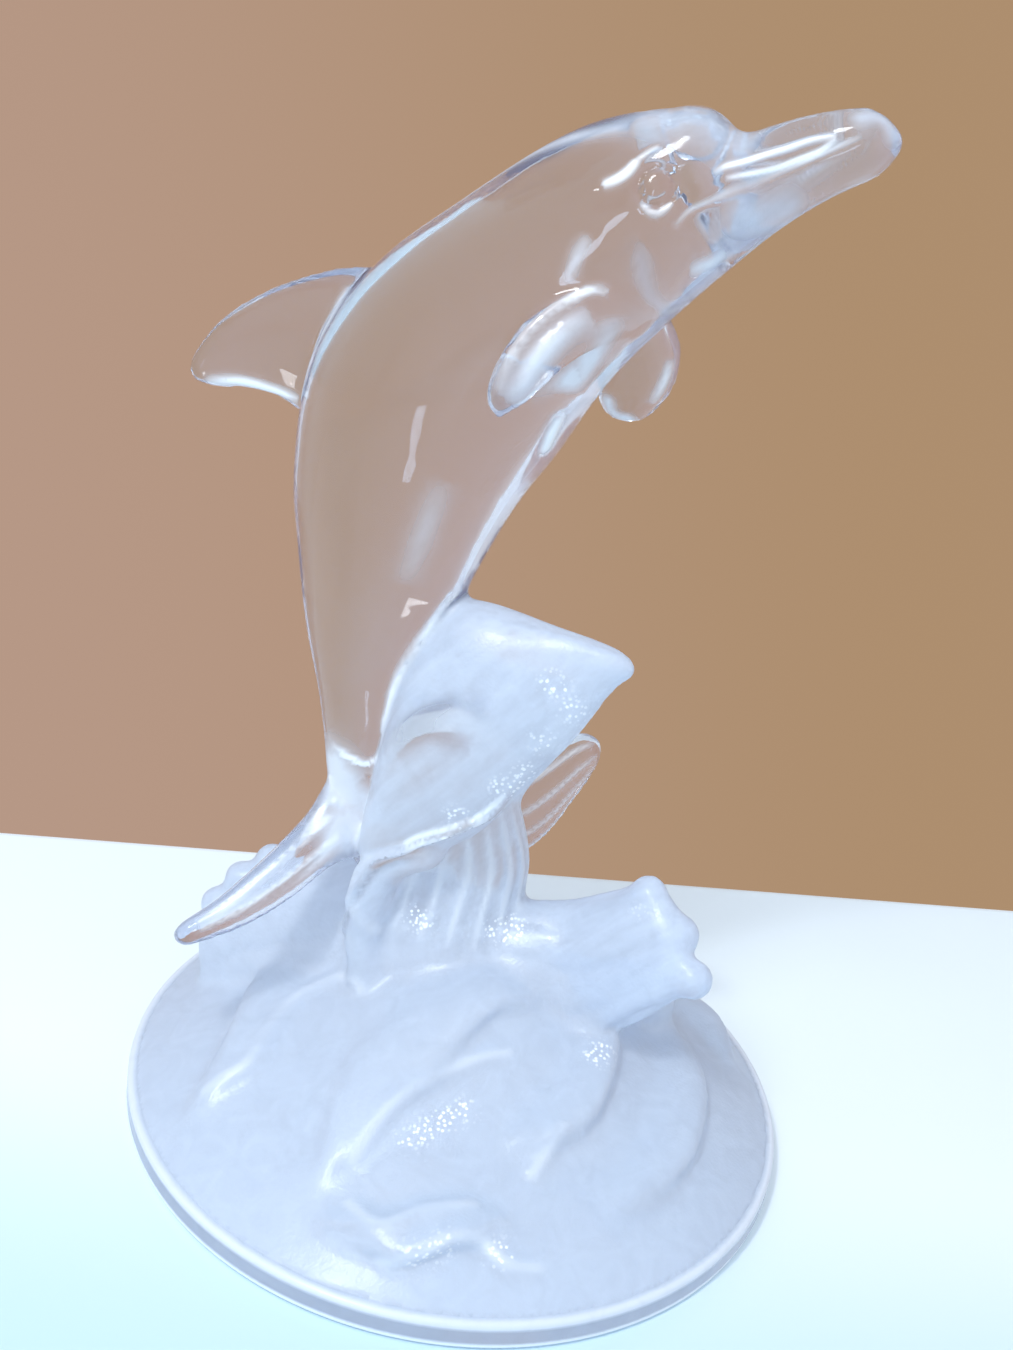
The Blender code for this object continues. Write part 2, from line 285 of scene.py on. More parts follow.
@dataclass
class Dolphin:
    """The leaping dolphin: clear glass from the beak to the flukes.

    Its lines are named after what they draw. Veils are milky places painted under the skin: painted
    reflections of the lights and the room on the head, and a painted sheen on the belly. The turns
    are the angles round a fluke, in degrees, at which lines run along it.
    """

    dorsal_thickness: float = 5.6
    pectoral_thickness: float = 4.2
    fluke_thickness: float = 5.2
    fin_heel: float = 0.3
    melon_blunt: float = 0.4
    far_fluke_turns: tuple[int, ...] = (20, 55, 90, 120, 150, 178)
    near_fluke_turns: tuple[int, ...] = (-100, -60)
    eye_radius: float = 1.9
    eye: Point = (8.1, -9.9, 132.4)
    eye_bulge: float = 0.55
    eye_ring_depth: float = 0.4
    eye_ring_size: float = 1.12
    eye_ring_width: float = 0.4
    body: Sections = body_cuts(
        (33, 142.8, 33.6, 139.8, 5), (28.8, 144.3, 31.3, 137.2, 8.2), (23.4, 143.1, 27.7, 134.9, 9.4),
        (18.7, 141.2, 24, 132, 10.8), (14.9, 139.6, 20.4, 128.6, 13), (10.8, 140.6, 17.4, 125.2, 16.8),
        (5.2, 140.9, 15, 122.4, 20), (-4.9, 137.1, 10.8, 117.2, 24), (-17.3, 127.5, 4.2, 108, 27),
        (-28.7, 116.9, -0.9, 97.5, 28.6), (-35.7, 103.2, -4.3, 91.5, 28), (-36.7, 88.9, -7.2, 85, 25),
        (-35.2, 78.5, -10.6, 75.5, 21), (-33.1, 67.3, -13.2, 66.7, 16), (-29.8, 56, -15.8, 57, 12),
        (-27.6, 45.8, -17.4, 46.2, 10), (-26.4, 34, -17.6, 34, 9.4),
    )
    melon: Sections = cuts(
        (2, 0, 139.2, 6, 0, 128, 15), (8.6, 0, 141.8, 12, 0, 130, 16.8),
        (14.4, 0, 141.3, 16.4, 0, 132.6, 14),
    )
    dorsal_fin: Sections = cuts(
        (-25, 0.5, 117, -30, 0.5, 92, 1.15), (-32.8, 0.8, 116.2, -38, 0.8, 95.4, 1),
        (-39.3, 1, 113.8, -42.6, 1, 96.8, 0.85), (-45.4, 1, 110.6, -47.4, 1, 96.6, 0.7),
        (-51.6, 1, 105.6, -51.6, 1, 95.8, 0.6), (-56, 1, 99, -55.2, 1, 96.2, 0.45),
    )
    near_pectoral: Sections = cuts(
        (6.5, -5, 123, 9, -5, 116, 1.2), (3, -9, 121.2, 5.6, -9, 114.8, 1.15),
        (-1.4, -13.2, 117.9, 2, -13, 110.6, 1), (-4.8, -16, 113, -1.6, -15.8, 105.9, 0.85),
        (-6.2, -18.2, 107.3, -4.4, -18, 103.6, 0.6),
    )
    far_pectoral: Sections = cuts(
        (4, 4, 119, -1, 4, 114, 1.2), (8.3, 8, 117.2, 0.3, 8, 112.4, 1.15),
        (11, 11.5, 112.5, 0, 11.5, 108.3, 1), (10.2, 14.5, 106.6, -0.6, 14.5, 103.7, 0.85),
        (6.8, 17, 101.2, 1.2, 17, 100.6, 0.6),
    )
    near_fluke: Sections = cuts(
        (-25, 4, 45, -17, 3, 30, 1.3), (-26.4, -1.5, 43, -18.6, -2.5, 32.6, 1.2),
        (-27, -7, 39.6, -21.6, -8, 32.6, 1.05), (-29.9, -14, 34.8, -24.6, -15, 29.6, 0.95),
        (-33.6, -20, 29.8, -29.4, -21, 26.2, 0.85), (-37.4, -26.4, 26.7, -35.7, -27, 24, 0.8),
    )
    far_fluke: Sections = cuts(
        (-25, -3, 42, -17.5, -3, 28, 1.3), (-21, 4, 40, -14, 4, 27, 1.25),
        (-13.4, 10.5, 40.4, -6.4, 10.5, 26.4, 1.2), (-4.7, 19, 43.3, 1.4, 19, 30.4, 1.1),
        (1.4, 27, 47.4, 5, 26.5, 37.1, 1.05), (5.4, 32, 46.9, 7.1, 31.8, 42.6, 0.9),
    )
    mouth: Line = (
        (28.8, -4, 141.1), (25.7, -4.5, 139.2), (22.7, -5, 137.3), (18.9, -6, 134.9),
        (16.4, -7.1, 133.6), (14.3, -8.3, 132), (12.2, -9.2, 130.5), (10.8, -9.6, 128.3),
    )
    upper_lip: Line = (
        (13.8, -7.8, 134.7), (15.1, -6.8, 135.8), (18, -5.4, 137.2), (21, -4.8, 138.6),
        (23.6, -4.4, 139.9), (26.2, -4.3, 140.7),
    )
    lower_lip: Line = (
        (15.1, -7.4, 134.4), (17, -6.4, 135.1), (19.9, -5.5, 136.2), (22.4, -5, 137.6),
        (24.7, -4.6, 139), (26.2, -4.3, 140.5),
    )
    # Veils: milky places painted where the lights and the room reflect, and a painted sheen on the belly
    melon_reflection_veil: Line = ((5.2, -4.6, 139.2), (9.4, -5.6, 139.6), (13, -4.6, 138.6))
    beak_reflection_veil: Line = ((14, -4, 134), (22, -3, 136.5), (30, -2, 141))
    beak_tip: Line = ((28.2, -2.9, 143), (29.7, -2, 143.2), (30.9, -1.9, 142.8), (31.7, -2.1, 141.9))
    jaw: Line = ((17.4, -6.2, 130.8), (19.2, -5, 130.4), (22.2, -3.8, 132.2))
    throat: Line = ((13, -6.7, 123.9), (14.9, -5.4, 124.9), (16.6, -4.8, 126.5))
    crown: Line = (
        (-26, -3, 119.6), (-18, -3, 126.8), (-11.1, -3, 132.2), (-4.1, -5.2, 135.9), (-0.6, -5.9, 137.1),
        (2.8, -5.8, 138.3),
    )
    belly_sheen_veil: Line = ((-17, -6, 86), (-20, -6, 72), (-22, -4, 56))
    chin: Line = ((24, 0, 132), (20.4, 0, 128.6), (17.4, 0, 125.2))
    back_top: Line = ((5.2, 0, 140.9), (-4.9, 0, 137.1), (-17.3, 0, 127.5), (-28.7, 0, 116.9))
    flank_bar: Line = ((1.9, -12.1, 126.1), (0.9, -12.3, 123.7), (0.4, -12.5, 120.3))
    flank_streak: Line = ((-11.5, -11.6, 94.1), (-12.9, -11, 89.7), (-14.2, -10.1, 84.5), (-15.9, -9.2, 78.3))
    back_edge: Line = (
        (-31.3, -1.8, 114), (-32.7, -3, 110), (-34.1, -3.6, 105.9), (-34.2, -5.8, 101.7),
        (-34.9, -6, 98.3),
    )
    belly_edge: Line = (
        (-10.7, -3.5, 77.4), (-13, -5.1, 72.1), (-15.8, -5.4, 66.3), (-17.3, -5.3, 59.8),
        (-18.1, -5.2, 51.7),
    )
    dorsal_edge: Line = ((-52.9, 0.3, 97), (-47.3, 0, 98), (-41.9, 0, 97.8), (-37.6, -0.8, 97.4))
    pectoral_crest: Line = (
        (-4.4, -18.2, 107.2), (-3.7, -17.4, 111.3), (-2.3, -15.8, 114.9), (0.2, -13.8, 118),
        (3, -12.1, 120.1), (5.1, -11, 120.2),
    )
    pectoral_fold: Line = (
        (-3.4, -17.6, 106.6), (-2, -17.1, 108.6), (-0.6, -16.2, 112), (1.4, -14.6, 115.2),
        (3.9, -12.5, 117.5),
    )
    pectoral_groove: Line = (
        (-2.6, -17.6, 109.4), (-1.6, -16.6, 112.9), (0.4, -14.9, 116.2), (3, -12.8, 118.7),
    )
    armpit: Line = ((5.3, -10.4, 117.6), (4.6, -9.4, 114.4), (3, -8, 110.4), (1.4, -7, 107))
    armpit_two: Line = ((-2, -12, 106), (0.6, -10.4, 107.6), (2.4, -8.6, 110))
    armpit_glint: Line = ((0.2, -6, 104.6), (-0.6, -5.4, 101.6), (-1.6, -4.4, 98.4))
    far_pectoral_edge: Line = ((7.6, 13.6, 104.4), (9.2, 11.6, 108.2), (9.7, 10.1, 111.4))
    far_pectoral_tip: Line = ((1.6, 13.8, 103.6), (2.4, 15.2, 102), (4.6, 15.3, 101.4))
    tail_root: Line = ((-24.6, -4.4, 46.2), (-21.9, -4.5, 43.4), (-19.6, -4.8, 41.5), (-21.2, -6.3, 38.2))
    tail_edge: Line = ((-25.4, -4.2, 50.6), (-22.6, -5.2, 49.4), (-19.4, -4.6, 48.9), (-18.3, -5.2, 51.7))
    fluke_edge: Line = (
        (-25.7, -3.5, 44.7), (-24.9, -8.2, 39.9), (-26.4, -14.2, 35.6), (-29.4, -19.4, 31.5),
        (-33.6, -25.2, 27.5),
    )
    fluke_mid: Line = ((-22.4, -6, 38), (-23.2, -10.7, 34.6), (-26.6, -16.4, 31), (-31, -21.8, 27.4))
    lower_lid: Line = (
        (7, -10.8, 130.6), (7.4, -10.7, 130), (8.2, -10.6, 129.6), (8.9, -10.4, 129.6),
        (9.7, -10.1, 130.3), (10.2, -9.9, 131.1),
    )
    brow: Line = (
        (2, -10.8, 131.5), (3.4, -10.5, 132.3), (4.5, -10.1, 133.3), (5.3, -9.4, 134.7),
        (6.3, -8.7, 135.8), (7.3, -8.3, 136.6),
    )
    blowhole: Line = ((3.4, -2.4, 141), (2.4, 0, 141.4), (3.4, 2.4, 141))

    def forms(self) -> list[Form]:
        """Return the animal's forms."""
        return [
            Form(self.body, around=64, along=150),
            Form(self.melon, blunt=self.melon_blunt),
            self.fin(self.dorsal_fin, self.dorsal_thickness),
            self.fin(self.near_pectoral, self.pectoral_thickness),
            self.fin(self.far_pectoral, self.pectoral_thickness),
            self.fin(self.near_fluke, self.fluke_thickness),
            self.fin(self.far_fluke, self.fluke_thickness),
        ]

    def fin(self, sections: Sections, thickness: float) -> Form:
        """Return a fin or a fluke, which is thicker towards its fore edge."""
        return Form(sections, thickness=thickness, heel=self.fin_heel)

    def face(self) -> list[Stroke]:
        """Return the lines of one side of the head, with its painted highlights and painted reflections."""
        return [
            Stroke(self.mouth, 0.55, -0.35),
            # Painted highlights: white along the mouth, the lips, the lower lid and the brow
            Stroke(self.mouth, 0.35, painted_highlight=0.6),
            Stroke(self.upper_lip, 0.36, 0.2, painted_highlight=0.9),
            Stroke(self.lower_lip, 0.30, 0.15, painted_highlight=0.9),
            Stroke(self.lower_lid, 0.38, 0.3, painted_highlight=1.0),
            Stroke(self.brow, 0.35, 0.2, painted_highlight=1.0),
            Stroke(self.brow[:4], 0.60, 0.15, painted_highlight=1.0),
            # Painted reflections: milky frost on the melon, beak, jaw, throat, chin, back and crown where the
            # lights and the room reflect, with a little painted white on the throat and crown
            Stroke(self.melon_reflection_veil, 3.8, frost_and_sheen=0.7, taper=False),
            Stroke(self.beak_reflection_veil, 6.0, frost_and_sheen=0.10, taper=False),
            Stroke(self.beak_tip, 1.2, frost_and_sheen=0.8, taper=False),
            Stroke(self.jaw, 2.2, frost_and_sheen=0.8, taper=False),
            Stroke(self.throat, 1.2, frost_and_sheen=0.6, painted_highlight=0.3),
            Stroke(self.chin, 1.7, frost_and_sheen=0.4),
            Stroke(self.back_top, 1.0, frost_and_sheen=0.35),
            Stroke(self.crown, 1.5, frost_and_sheen=0.7, painted_highlight=0.1),
        ]

    def flanks(self) -> list[Stroke]:
        """Return the painted light along the body: milky reflections, a sheen and white edges, alike on both
        its sides.
        """
        return [
            # Painted reflections as milky frost on the flank bar and streak, painted white highlights along
            # the back and belly edges, and a painted sheen on the belly
            Stroke(self.flank_bar, 0.9, frost_and_sheen=0.45, painted_highlight=0.15),
            Stroke(self.flank_streak, 1.9, frost_and_sheen=0.35, painted_highlight=0.1),
            Stroke(self.back_edge, 1.0, 0.3, 0.45, painted_highlight=0.4),
            Stroke(self.belly_edge, 0.6, 0.4, 0.6, painted_highlight=0.4),
            Stroke(self.belly_sheen_veil, 4.5, frost_and_sheen=0.12, taper=False),
        ]

    def fins(self) -> list[Stroke]:
        """Return the folds of the fins and the tail, with painted highlights and painted reflections."""
        return [
            # Folds and beads, with painted white highlights along the edges and crests, and milky frost
            # painted for the reflections in the pectoral fin
            Stroke(self.dorsal_edge, 0.8, 0.3, 0.6, painted_highlight=0.7),
            Stroke(self.pectoral_crest, 0.5, 0.5, 0.5, painted_highlight=0.8),
            Stroke(self.pectoral_groove, 0.8, -0.6, -0.2),
            Stroke(self.pectoral_fold, 1.9, 0.4, 1.0, painted_highlight=0.15),
            Stroke(self.armpit, 2.2, 0.5, 1.0, painted_highlight=0.2),
            Stroke(self.armpit_two, 1.5, 0.4, 0.8, painted_highlight=0.2),
            Stroke(self.armpit_glint, 1.0, 0.4, 1.0, painted_highlight=0.9),
            Stroke(self.far_pectoral_edge, 0.7, 0.2, 0.3, painted_highlight=0.6),
            Stroke(self.far_pectoral_tip, 1.1, frost_and_sheen=0.8, painted_highlight=0.3, taper=False),
            # The tail root is frosted where it meets the wave behind, with a little painted white; the V edge
            # and the fluke lines are painted highlights
            Stroke(self.tail_root, 4.4, frost_and_sheen=1.1, painted_highlight=0.2, taper=False),
            Stroke(self.tail_edge, 0.4, 0.4, 0.5, painted_highlight=0.9),
            Stroke(self.fluke_edge, 0.55, 0.5, 0.5, painted_highlight=0.8),
            Stroke(self.fluke_mid, 0.9, -0.3, 0.4, painted_highlight=0.4),
        ]

    def strokes(self) -> list[Stroke]:
        """Return every line worked into the animal."""
        made = [Stroke(self.blowhole, 0.7, -0.6)] + self.fins()
        flukes = ((self.far_fluke, self.far_fluke_turns), (self.near_fluke, self.near_fluke_turns))
        for sections, turns in flukes:
            fluke = self.fin(sections, self.fluke_thickness)
            # Lines along the flukes, raised, frosted and painted white as highlights
            made += [Stroke(fluke.line(radians(turn), 0.35, 0.92), 0.45, 0.3, 0.3, painted_highlight=0.6, smooth=False)
                     for turn in turns]
        # A painted highlight along the dorsal fin's top edge
        fin = self.fin(self.dorsal_fin, self.dorsal_thickness)
        made.append(Stroke(fin.line(0, 0.25, 0.95), 0.6, frost_and_sheen=0.2, painted_highlight=0.5, smooth=False))
        for stroke in self.face() + self.flanks():
            made += [stroke, stroke.flipped()]
        return made

    def eyes(self) -> list[Point]:
        """Return the middles of both eyes."""
        x, y, z = self.eye
        return [(x, y, z), (x, -y, z)]


@dataclass
class Waves:
    """The frosted waves that carry the dolphin.

    The turns are the angles round a wave, in degrees, at which its flow lines run.
    """

    crest_heel: float = 0.25
    back_heel: float = -0.4
    crest_turns: range = range(-26, -142, -13)
    trunk_turns: range = range(-150, 174, 18)
    wave_turns: range = range(-160, 200, 36)
    crest: Sections = cuts(
        (-19, -4.4, 34, -13, -4.4, 31, 6), (-18.4, -4.6, 42.6, -8.6, -6, 37.6, 10),
        (-17.4, -3.6, 54.2, -1.4, -5.8, 43.4, 13.4), (-16, -2.2, 63.4, 4.5, -5, 52.4, 15),
        (-13.2, -0.8, 71.2, 9.8, -4, 61.2, 13.4), (-9.6, 0, 75.4, 12.6, -3.2, 67.2, 10.5),
        (3.4, -1.6, 75.2, 14.4, -3, 70.2, 6.5), (14.6, -2.8, 74.4, 16.4, -3, 71.6, 4),
    )
    trunk: Sections = cuts(
        (9, 1, 5, -27, 1, 5, 30), (6.4, 2.4, 17, -24, 2, 17, 23),
        (4.6, 4.6, 27, -21, 3, 27, 18), (4.2, 5.4, 36, -19.5, 3.4, 36, 15),
        (1.2, 3.4, 46, -18, 2.4, 46, 12), (-1, 2, 56, -17, 1.4, 56, 10),
    )
    crest_back: Sections = cuts(
        (-14, 1, 70, -18, 8, 38, 8), (-8, 0.6, 72.6, -11, 10, 34, 9.6),
        (0, -0.2, 72, -3, 9.4, 38, 8.6), (7, -1.4, 72, 2.6, 5.6, 48, 6.4),
        (12.6, -2.6, 72, 8.6, 0.6, 61, 4),
    )
    swirl: Sections = cuts(
        (-5, -5, 41, -6, -6, 36.6, 4.6), (-11.6, -6.6, 40.2, -11, -7.2, 34, 6.4),
        (-16.2, -6.2, 36.6, -12, -7.4, 31, 7.4), (-18.4, -6.2, 30.6, -12.6, -7.4, 27.4, 7.6),
        (-18.4, -6.8, 23, -12.6, -8.2, 22.6, 7.6), (-14.6, -8.4, 13, -10.6, -9.6, 18, 6.4),
    )
    breaker: Sections = cuts(
        (-4, 5, 25, -2, -5, 14, 9), (4.6, 6.4, 28.4, 9, -4, 14.6, 9),
        (11.4, 6.4, 31, 18, -2.4, 13, 8.6), (17.6, 5.8, 35, 24.4, -2.4, 17.4, 8),
        (23.2, 5, 38.6, 29.6, -3, 23.4, 6.6), (28.6, 3, 35.8, 33.2, -2.8, 28, 5),
    )
    breaker_back: Sections = cuts(
        (-2, 7, 25, 2, 18, 0, 11), (6, 8, 27, 9, 22, -1, 12),
        (13.6, 7.8, 30, 17.4, 22.4, -1, 11.4), (20, 6.6, 34.4, 25, 18.6, 1, 8.6),
        (25.6, 4.6, 34, 29.6, 12, 9, 5.6),
    )
    backwash: Sections = cuts(
        (-20, 5, 31, -16, -2, 4, 12), (-28.4, 4, 29.2, -22.6, -2, 1, 14),
        (-34.6, 2, 26.6, -28.6, -2.4, -1, 13.6), (-39.4, 0.4, 23.4, -33.4, -2.6, -2, 12),
        (-43.2, -1.8, 18, -37.6, -3, -2, 10), (-45.6, -3.2, 12.4, -42, -3.6, -1, 7),
    )
    foam: tuple[tuple[Point, float], ...] = (
        ((22.9, 4.6, 36.4), 3), ((28.6, 2.4, 32.6), 3.2), ((32.4, -1.8, 28.8), 3),
        ((-42.6, -2.4, 16.4), 2.8), ((-39.6, -0.4, 20.8), 3), ((-35.6, 1.4, 24.4), 3),
    )
    lip: Line = (
        (-19.7, -5.3, 19.1), (-18, -9.7, 24.8), (-17, -9.8, 30.3), (-15.8, -9.9, 33.3),
        (-13.9, -9.9, 37.3), (-11.2, -9.7, 39.7), (-7.1, -9.4, 42.7), (-4.5, -9.1, 44.5),
        (-2, -8.5, 46.3), (0.4, -7.4, 47.9), (1.8, -7.3, 50.4), (3.4, -7.2, 54),
    )
    lip_gleam: Line = (
        (-10.8, -9.9, 40.8), (-8.6, -10, 43), (-4.8, -9.5, 45.2), (-1.8, -8.7, 47), (0.4, -8.1, 49.5),
        (2.2, -7.6, 52.1),
    )
    band: Line = (
        (-15.7, -8.9, 53), (-14.1, -9.6, 56.7), (-11.3, -10.2, 60.6), (-8.1, -10.3, 63), (-5, -10, 64.1),
        (-1.3, -9.3, 64.9),
    )
    small_band: Line = (
        (-13.5, -10.4, 54.3), (-10.7, -10.8, 58.2), (-8, -11, 59.6), (-5.2, -10.8, 59),
        (-3, -10.4, 58.5),
    )
    # Points where white glints are painted in specks
    sparks: Line = (
        (5.5, -6.8, 69.3), (8.6, -6.1, 66), (5.5, -7.5, 60.9), (4, -7.5, 55.8), (1.2, -8.6, 53.3),
        (3, -7.5, 53.3), (-3.8, -9.8, 47.8), (2.2, -1.7, 26.5), (4.1, 0.4, 27.4), (-9, -5.4, 27.2),
        (22.9, 2.2, 34.6),
    )
    top_edge: Line = (
        (-9.4, -4.2, 75.6), (-3, -4.4, 75.4), (4, -4.2, 75), (10, -4.2, 74.6), (14.6, -3.8, 73.8),
    )
    hollow: Line = ((-13, -8, 31.4), (-9.6, -6.4, 30.2), (-7.6, -5.6, 27.4))
    roll: Line = (
        (-5.6, -3, 36.6), (-8.5, -8.9, 40), (-14, -9.8, 37.6), (-17.3, -8.3, 33.4), (-16.9, -10, 28.6),
        (-13.4, -9.3, 25.3), (-9.1, -6.3, 25.2),
    )
    shade: Line = (
        (22.2, -3.9, 16.7), (23.2, -3.3, 17.9), (26.3, -3.5, 21.7), (30, -3.3, 24.9), (33.4, -4.2, 28.9),
    )

    def forms(self) -> list[Form]:
        """Return the waves' forms."""
        frosted = Finish.FROSTED
        made = [Form(self.crest, frosted, heel=self.crest_heel)]
        for sections in (self.trunk, self.swirl, self.breaker):
            made.append(Form(sections, frosted))
        for sections in (self.crest_back, self.breaker_back, self.backwash):
            made.append(Form(sections, frosted, heel=self.back_heel))
        return made

    def foam_lobes(self) -> list[Mesh]:
        """Return the round lobes of foam along the waves' edges."""
        made = []
        for centre, radius in self.foam:
            bm = bmesh.new()
            bmesh.ops.create_icosphere(bm, subdivisions=4, radius=radius)
            bmesh.ops.translate(bm, verts=bm.verts[:], vec=centre)
            made.append(loose_mesh(bm))
        return made

    def strokes(self) -> list[Stroke]:
        """Return the flow lines, the rolled lip and the streaks on the waves, with painted highlights and
        glints.
        """
        made = [
            Stroke(self.lip, 0.65, 0.9, -0.6),
            # Painted highlights in white along the lip, and a little along the roll
            Stroke(self.lip_gleam, 0.35, 0.2, painted_highlight=1.0),
            Stroke([(x, y - 0.3, z - 1.6) for x, y, z in self.lip_gleam], 0.3, painted_highlight=0.7),
            Stroke(self.band, 1.8, frost_and_sheen=-0.85),
            Stroke(self.small_band, 1.8, frost_and_sheen=-0.7),
            Stroke(self.hollow, 2.4, frost_and_sheen=-0.5),
            Stroke(self.roll, 0.8, 0.7, -0.2, painted_highlight=0.25),
            Stroke(self.shade, 0.9, -0.5, -0.5),
            Stroke(self.top_edge, 0.8, 0.3, 0.2),
            Stroke([(x, y - 0.4, z - 1.3) for x, y, z in self.lip], 0.55, -0.5, -0.6),
            Stroke(self.band, 6.0, frost_and_sheen=-1.2, through=True, taper=False),
            Stroke(self.hollow, 5.0, frost_and_sheen=-1.0, through=True, taper=False),
        ]
        # Painted glints: white specks at the sparks
        made += [Stroke(((x, y, z), (x + 1.5, y - 0.2, z - 0.6)), 1.2, painted_glints=1.0, taper=False)
                 for x, y, z in self.sparks]
        crest = Form(self.crest, heel=self.crest_heel)
        for k, turn in enumerate(self.crest_turns):
            flow = crest.line(radians(turn), 0.16, 0.9 - 0.03 * k)
            made.append(Stroke(flow, 1.1, -0.3, -0.1, smooth=False))
        trunk = Form(self.trunk)
        halfway = self.trunk_turns.step // 2
        for turn in self.trunk_turns:
            groove = trunk.line(radians(turn), 0.25, 0.85)
            thread = trunk.line(radians(turn + halfway), 0.3, 0.8)
            made.append(Stroke(groove, 0.5, -0.35, -0.12, smooth=False))
            # Thin lines painted white between the grooves, as highlights
            made.append(Stroke(thread, 0.4, painted_highlight=0.22, smooth=False))
        backs = ((self.breaker, 0.0), (self.breaker_back, self.back_heel), (self.backwash, self.back_heel))
        for sections, heel in backs:
            form = Form(sections, heel=heel)
            made += [Stroke(form.line(radians(turn), 0.12, 0.9), 0.9, -0.25, smooth=False)
                     for turn in self.wave_turns]
        return made


@dataclass
class Base:
    """The frosted dome with its ripples, on a clear plate with a polished rim.

    step is how far the dome's edge stands in from the rim, sink how deep its foot reaches into the
    plate, and same_spot how near two points are to be merged. ripple_start and ripple_spare say how
    wide a ripple is at its ends.
    """

    radius: float = 50.0
    rim_height: float = 4.0
    bevel: float = 0.6
    step: float = 0.9
    dome_rise: float = 14.0
    mound_rise: float = 9.0
    mound_radius: float = 18.0
    ripple_rise: float = 1.8
    ripple_blunt: float = 0.3
    ripple_start: float = 0.6
    ripple_spare: float = 0.2
    dome_fall: float = 2.2
    sink: float = 2.8
    plate_inset: float = 2.0
    same_spot: float = 0.03
    segments: int = 192
    dome_rings: int = 48
    rim_rings: int = 5
    ripples: tuple[tuple[tuple[Pair, ...], float], ...] = (
        (((-28, -35), (-25, -23), (-26, -9), (-24, 0), (-18, -1)), 12),
        (((-6, -39), (-5, -27), (-2, -17), (4, -8), (12, -4)), 13),
        (((18, 8), (20, -4), (20, -16), (15, -26)), 11),
        (((-4, -43), (6, -41), (12, -37), (19, -34)), 9),
        (((30, -26), (34, -12), (33, 3), (28, 16)), 11),
        (((27, 34), (16, 31), (5, 23), (-2, 14)), 12),
        (((2, 44), (-8, 37), (-14, 27), (-12, 16)), 12),
        (((-22, 38), (-30, 28), (-28, 17), (-22, 10)), 11),
        (((40, 18), (33, 25), (24, 25), (17, 16)), 11),
    )
    ridges: tuple[Line, ...] = (
        ((-28, -31.3, 5.4), (-25.6, -28.2, 7.6), (-23.8, -25.3, 8.9), (-23.3, -14.4, 11.7),
         (-21.3, -10.2, 12.8), (-18.1, -8.8, 15), (-14.7, -11.4, 17.4), (-13, -12.5, 16)),
        ((-3.1, -35.9, 7.4), (-2.1, -30.8, 10.5), (-0.5, -26.7, 12.7), (4.1, -20.4, 14.8),
         (7.2, -16.9, 15.6), (11.3, -13.5, 16)),
        ((-1.8, -39.8, 5.3), (4.1, -42.2, 5.8), (8.1, -38.6, 6.6), (12, -36.4, 7.4),
         (14.7, -34.4, 7.2)),
        ((5.1, -45.2, 2.8), (8.1, -44.3, 3.8), (11.1, -42.4, 5.6), (13.5, -40, 6.4),
         (16.4, -38.4, 5.6), (20.8, -38.2, 3.3), (25, -36.3, 3)),
        ((21.2, -19.9, 12.5), (20.1, -24.2, 9.7), (19.4, -27.8, 8)),
    )
    # Lines along which white glints are painted in specks
    painted_glints: tuple[Line, ...] = (
        ((1.6, -31.4, 9.2), (4.7, -27.9, 10.6), (7.1, -25, 11.6), (8.9, -22.4, 12.5)),
        ((8.1, -44.3, 3.8), (11.1, -42.4, 5), (13.5, -40, 5.8)),
        ((17.4, -38.4, 4.6), (20.8, -37.2, 3.6)),
        ((22.4, -4.4, 16.2), (22.2, -6.8, 15.6), (21.2, -9.3, 15.2)),
    )

    def height(self, away: float) -> float:
        """Return the dome's height above the rim at a distance from its axis."""
        share = min(away / (self.radius - self.step), 1.0)
        return (self.dome_rise * (1 - share ** self.dome_fall)
                + self.mound_rise * exp(-(away / self.mound_radius) ** 2))

    def turned(self, profile: list[Pair]) -> BMesh:
        """Return a closed turned solid from a profile that runs from the axis to the axis."""
        bm = bmesh.new()
        verts = [bm.verts.new((radius, 0, height)) for radius, height in profile]
        edges = [bm.edges.new(pair) for pair in zip(verts, verts[1:])]
        bmesh.ops.spin(bm, geom=verts + edges, cent=(0, 0, 0), axis=(0, 0, 1), angle=2 * pi,
                       steps=self.segments, use_merge=True)
        bmesh.ops.remove_doubles(bm, verts=bm.verts[:], dist=self.same_spot)
        bmesh.ops.recalc_face_normals(bm, faces=bm.faces[:])
        return bm

    def dome(self) -> Mesh:
        """Return the dome, with a foot that sinks into the plate."""
        rings = self.dome_rings
        edge = self.radius - self.step
        profile = [(edge * k / rings, self.height(edge * k / rings)) for k in range(rings + 1)]
        profile += [(edge, -self.sink), (edge / 2, -self.sink), (0, -self.sink)]
        return loose_mesh(self.turned(profile))

    def forms(self) -> list[Form]:
        """Return the raised ripples, which follow the dome."""
        made = []
        for path, width in self.ripples:
            sections = []
            for index, (x, y) in enumerate(path):
                ahead = path[min(index + 1, len(path) - 1)]
                behind = path[max(index - 1, 0)]
                run = Vector((ahead[0] - behind[0], ahead[1] - behind[1], 0)).normalized()
                share = (index + self.ripple_start) / (len(path) + self.ripple_spare)
                spread = width / 2 * sin(pi * share)
                out = Vector((-run.y, run.x, 0)) * spread
                middle = Vector((x, y, self.height(hypot(x, y))))
                sections.append(Section(tuple(middle + out), tuple(middle - out),
                                        2 * self.ripple_rise))
            made.append(Form(tuple(sections), Finish.FROSTED, blunt=self.ripple_blunt))
        return made

    def strokes(self) -> list[Stroke]:
        """Return the sharp crests of the ripples with painted highlights along them, and painted glints."""
        crests = [Stroke(path, 1.5, 0.8) for path in self.ridges]
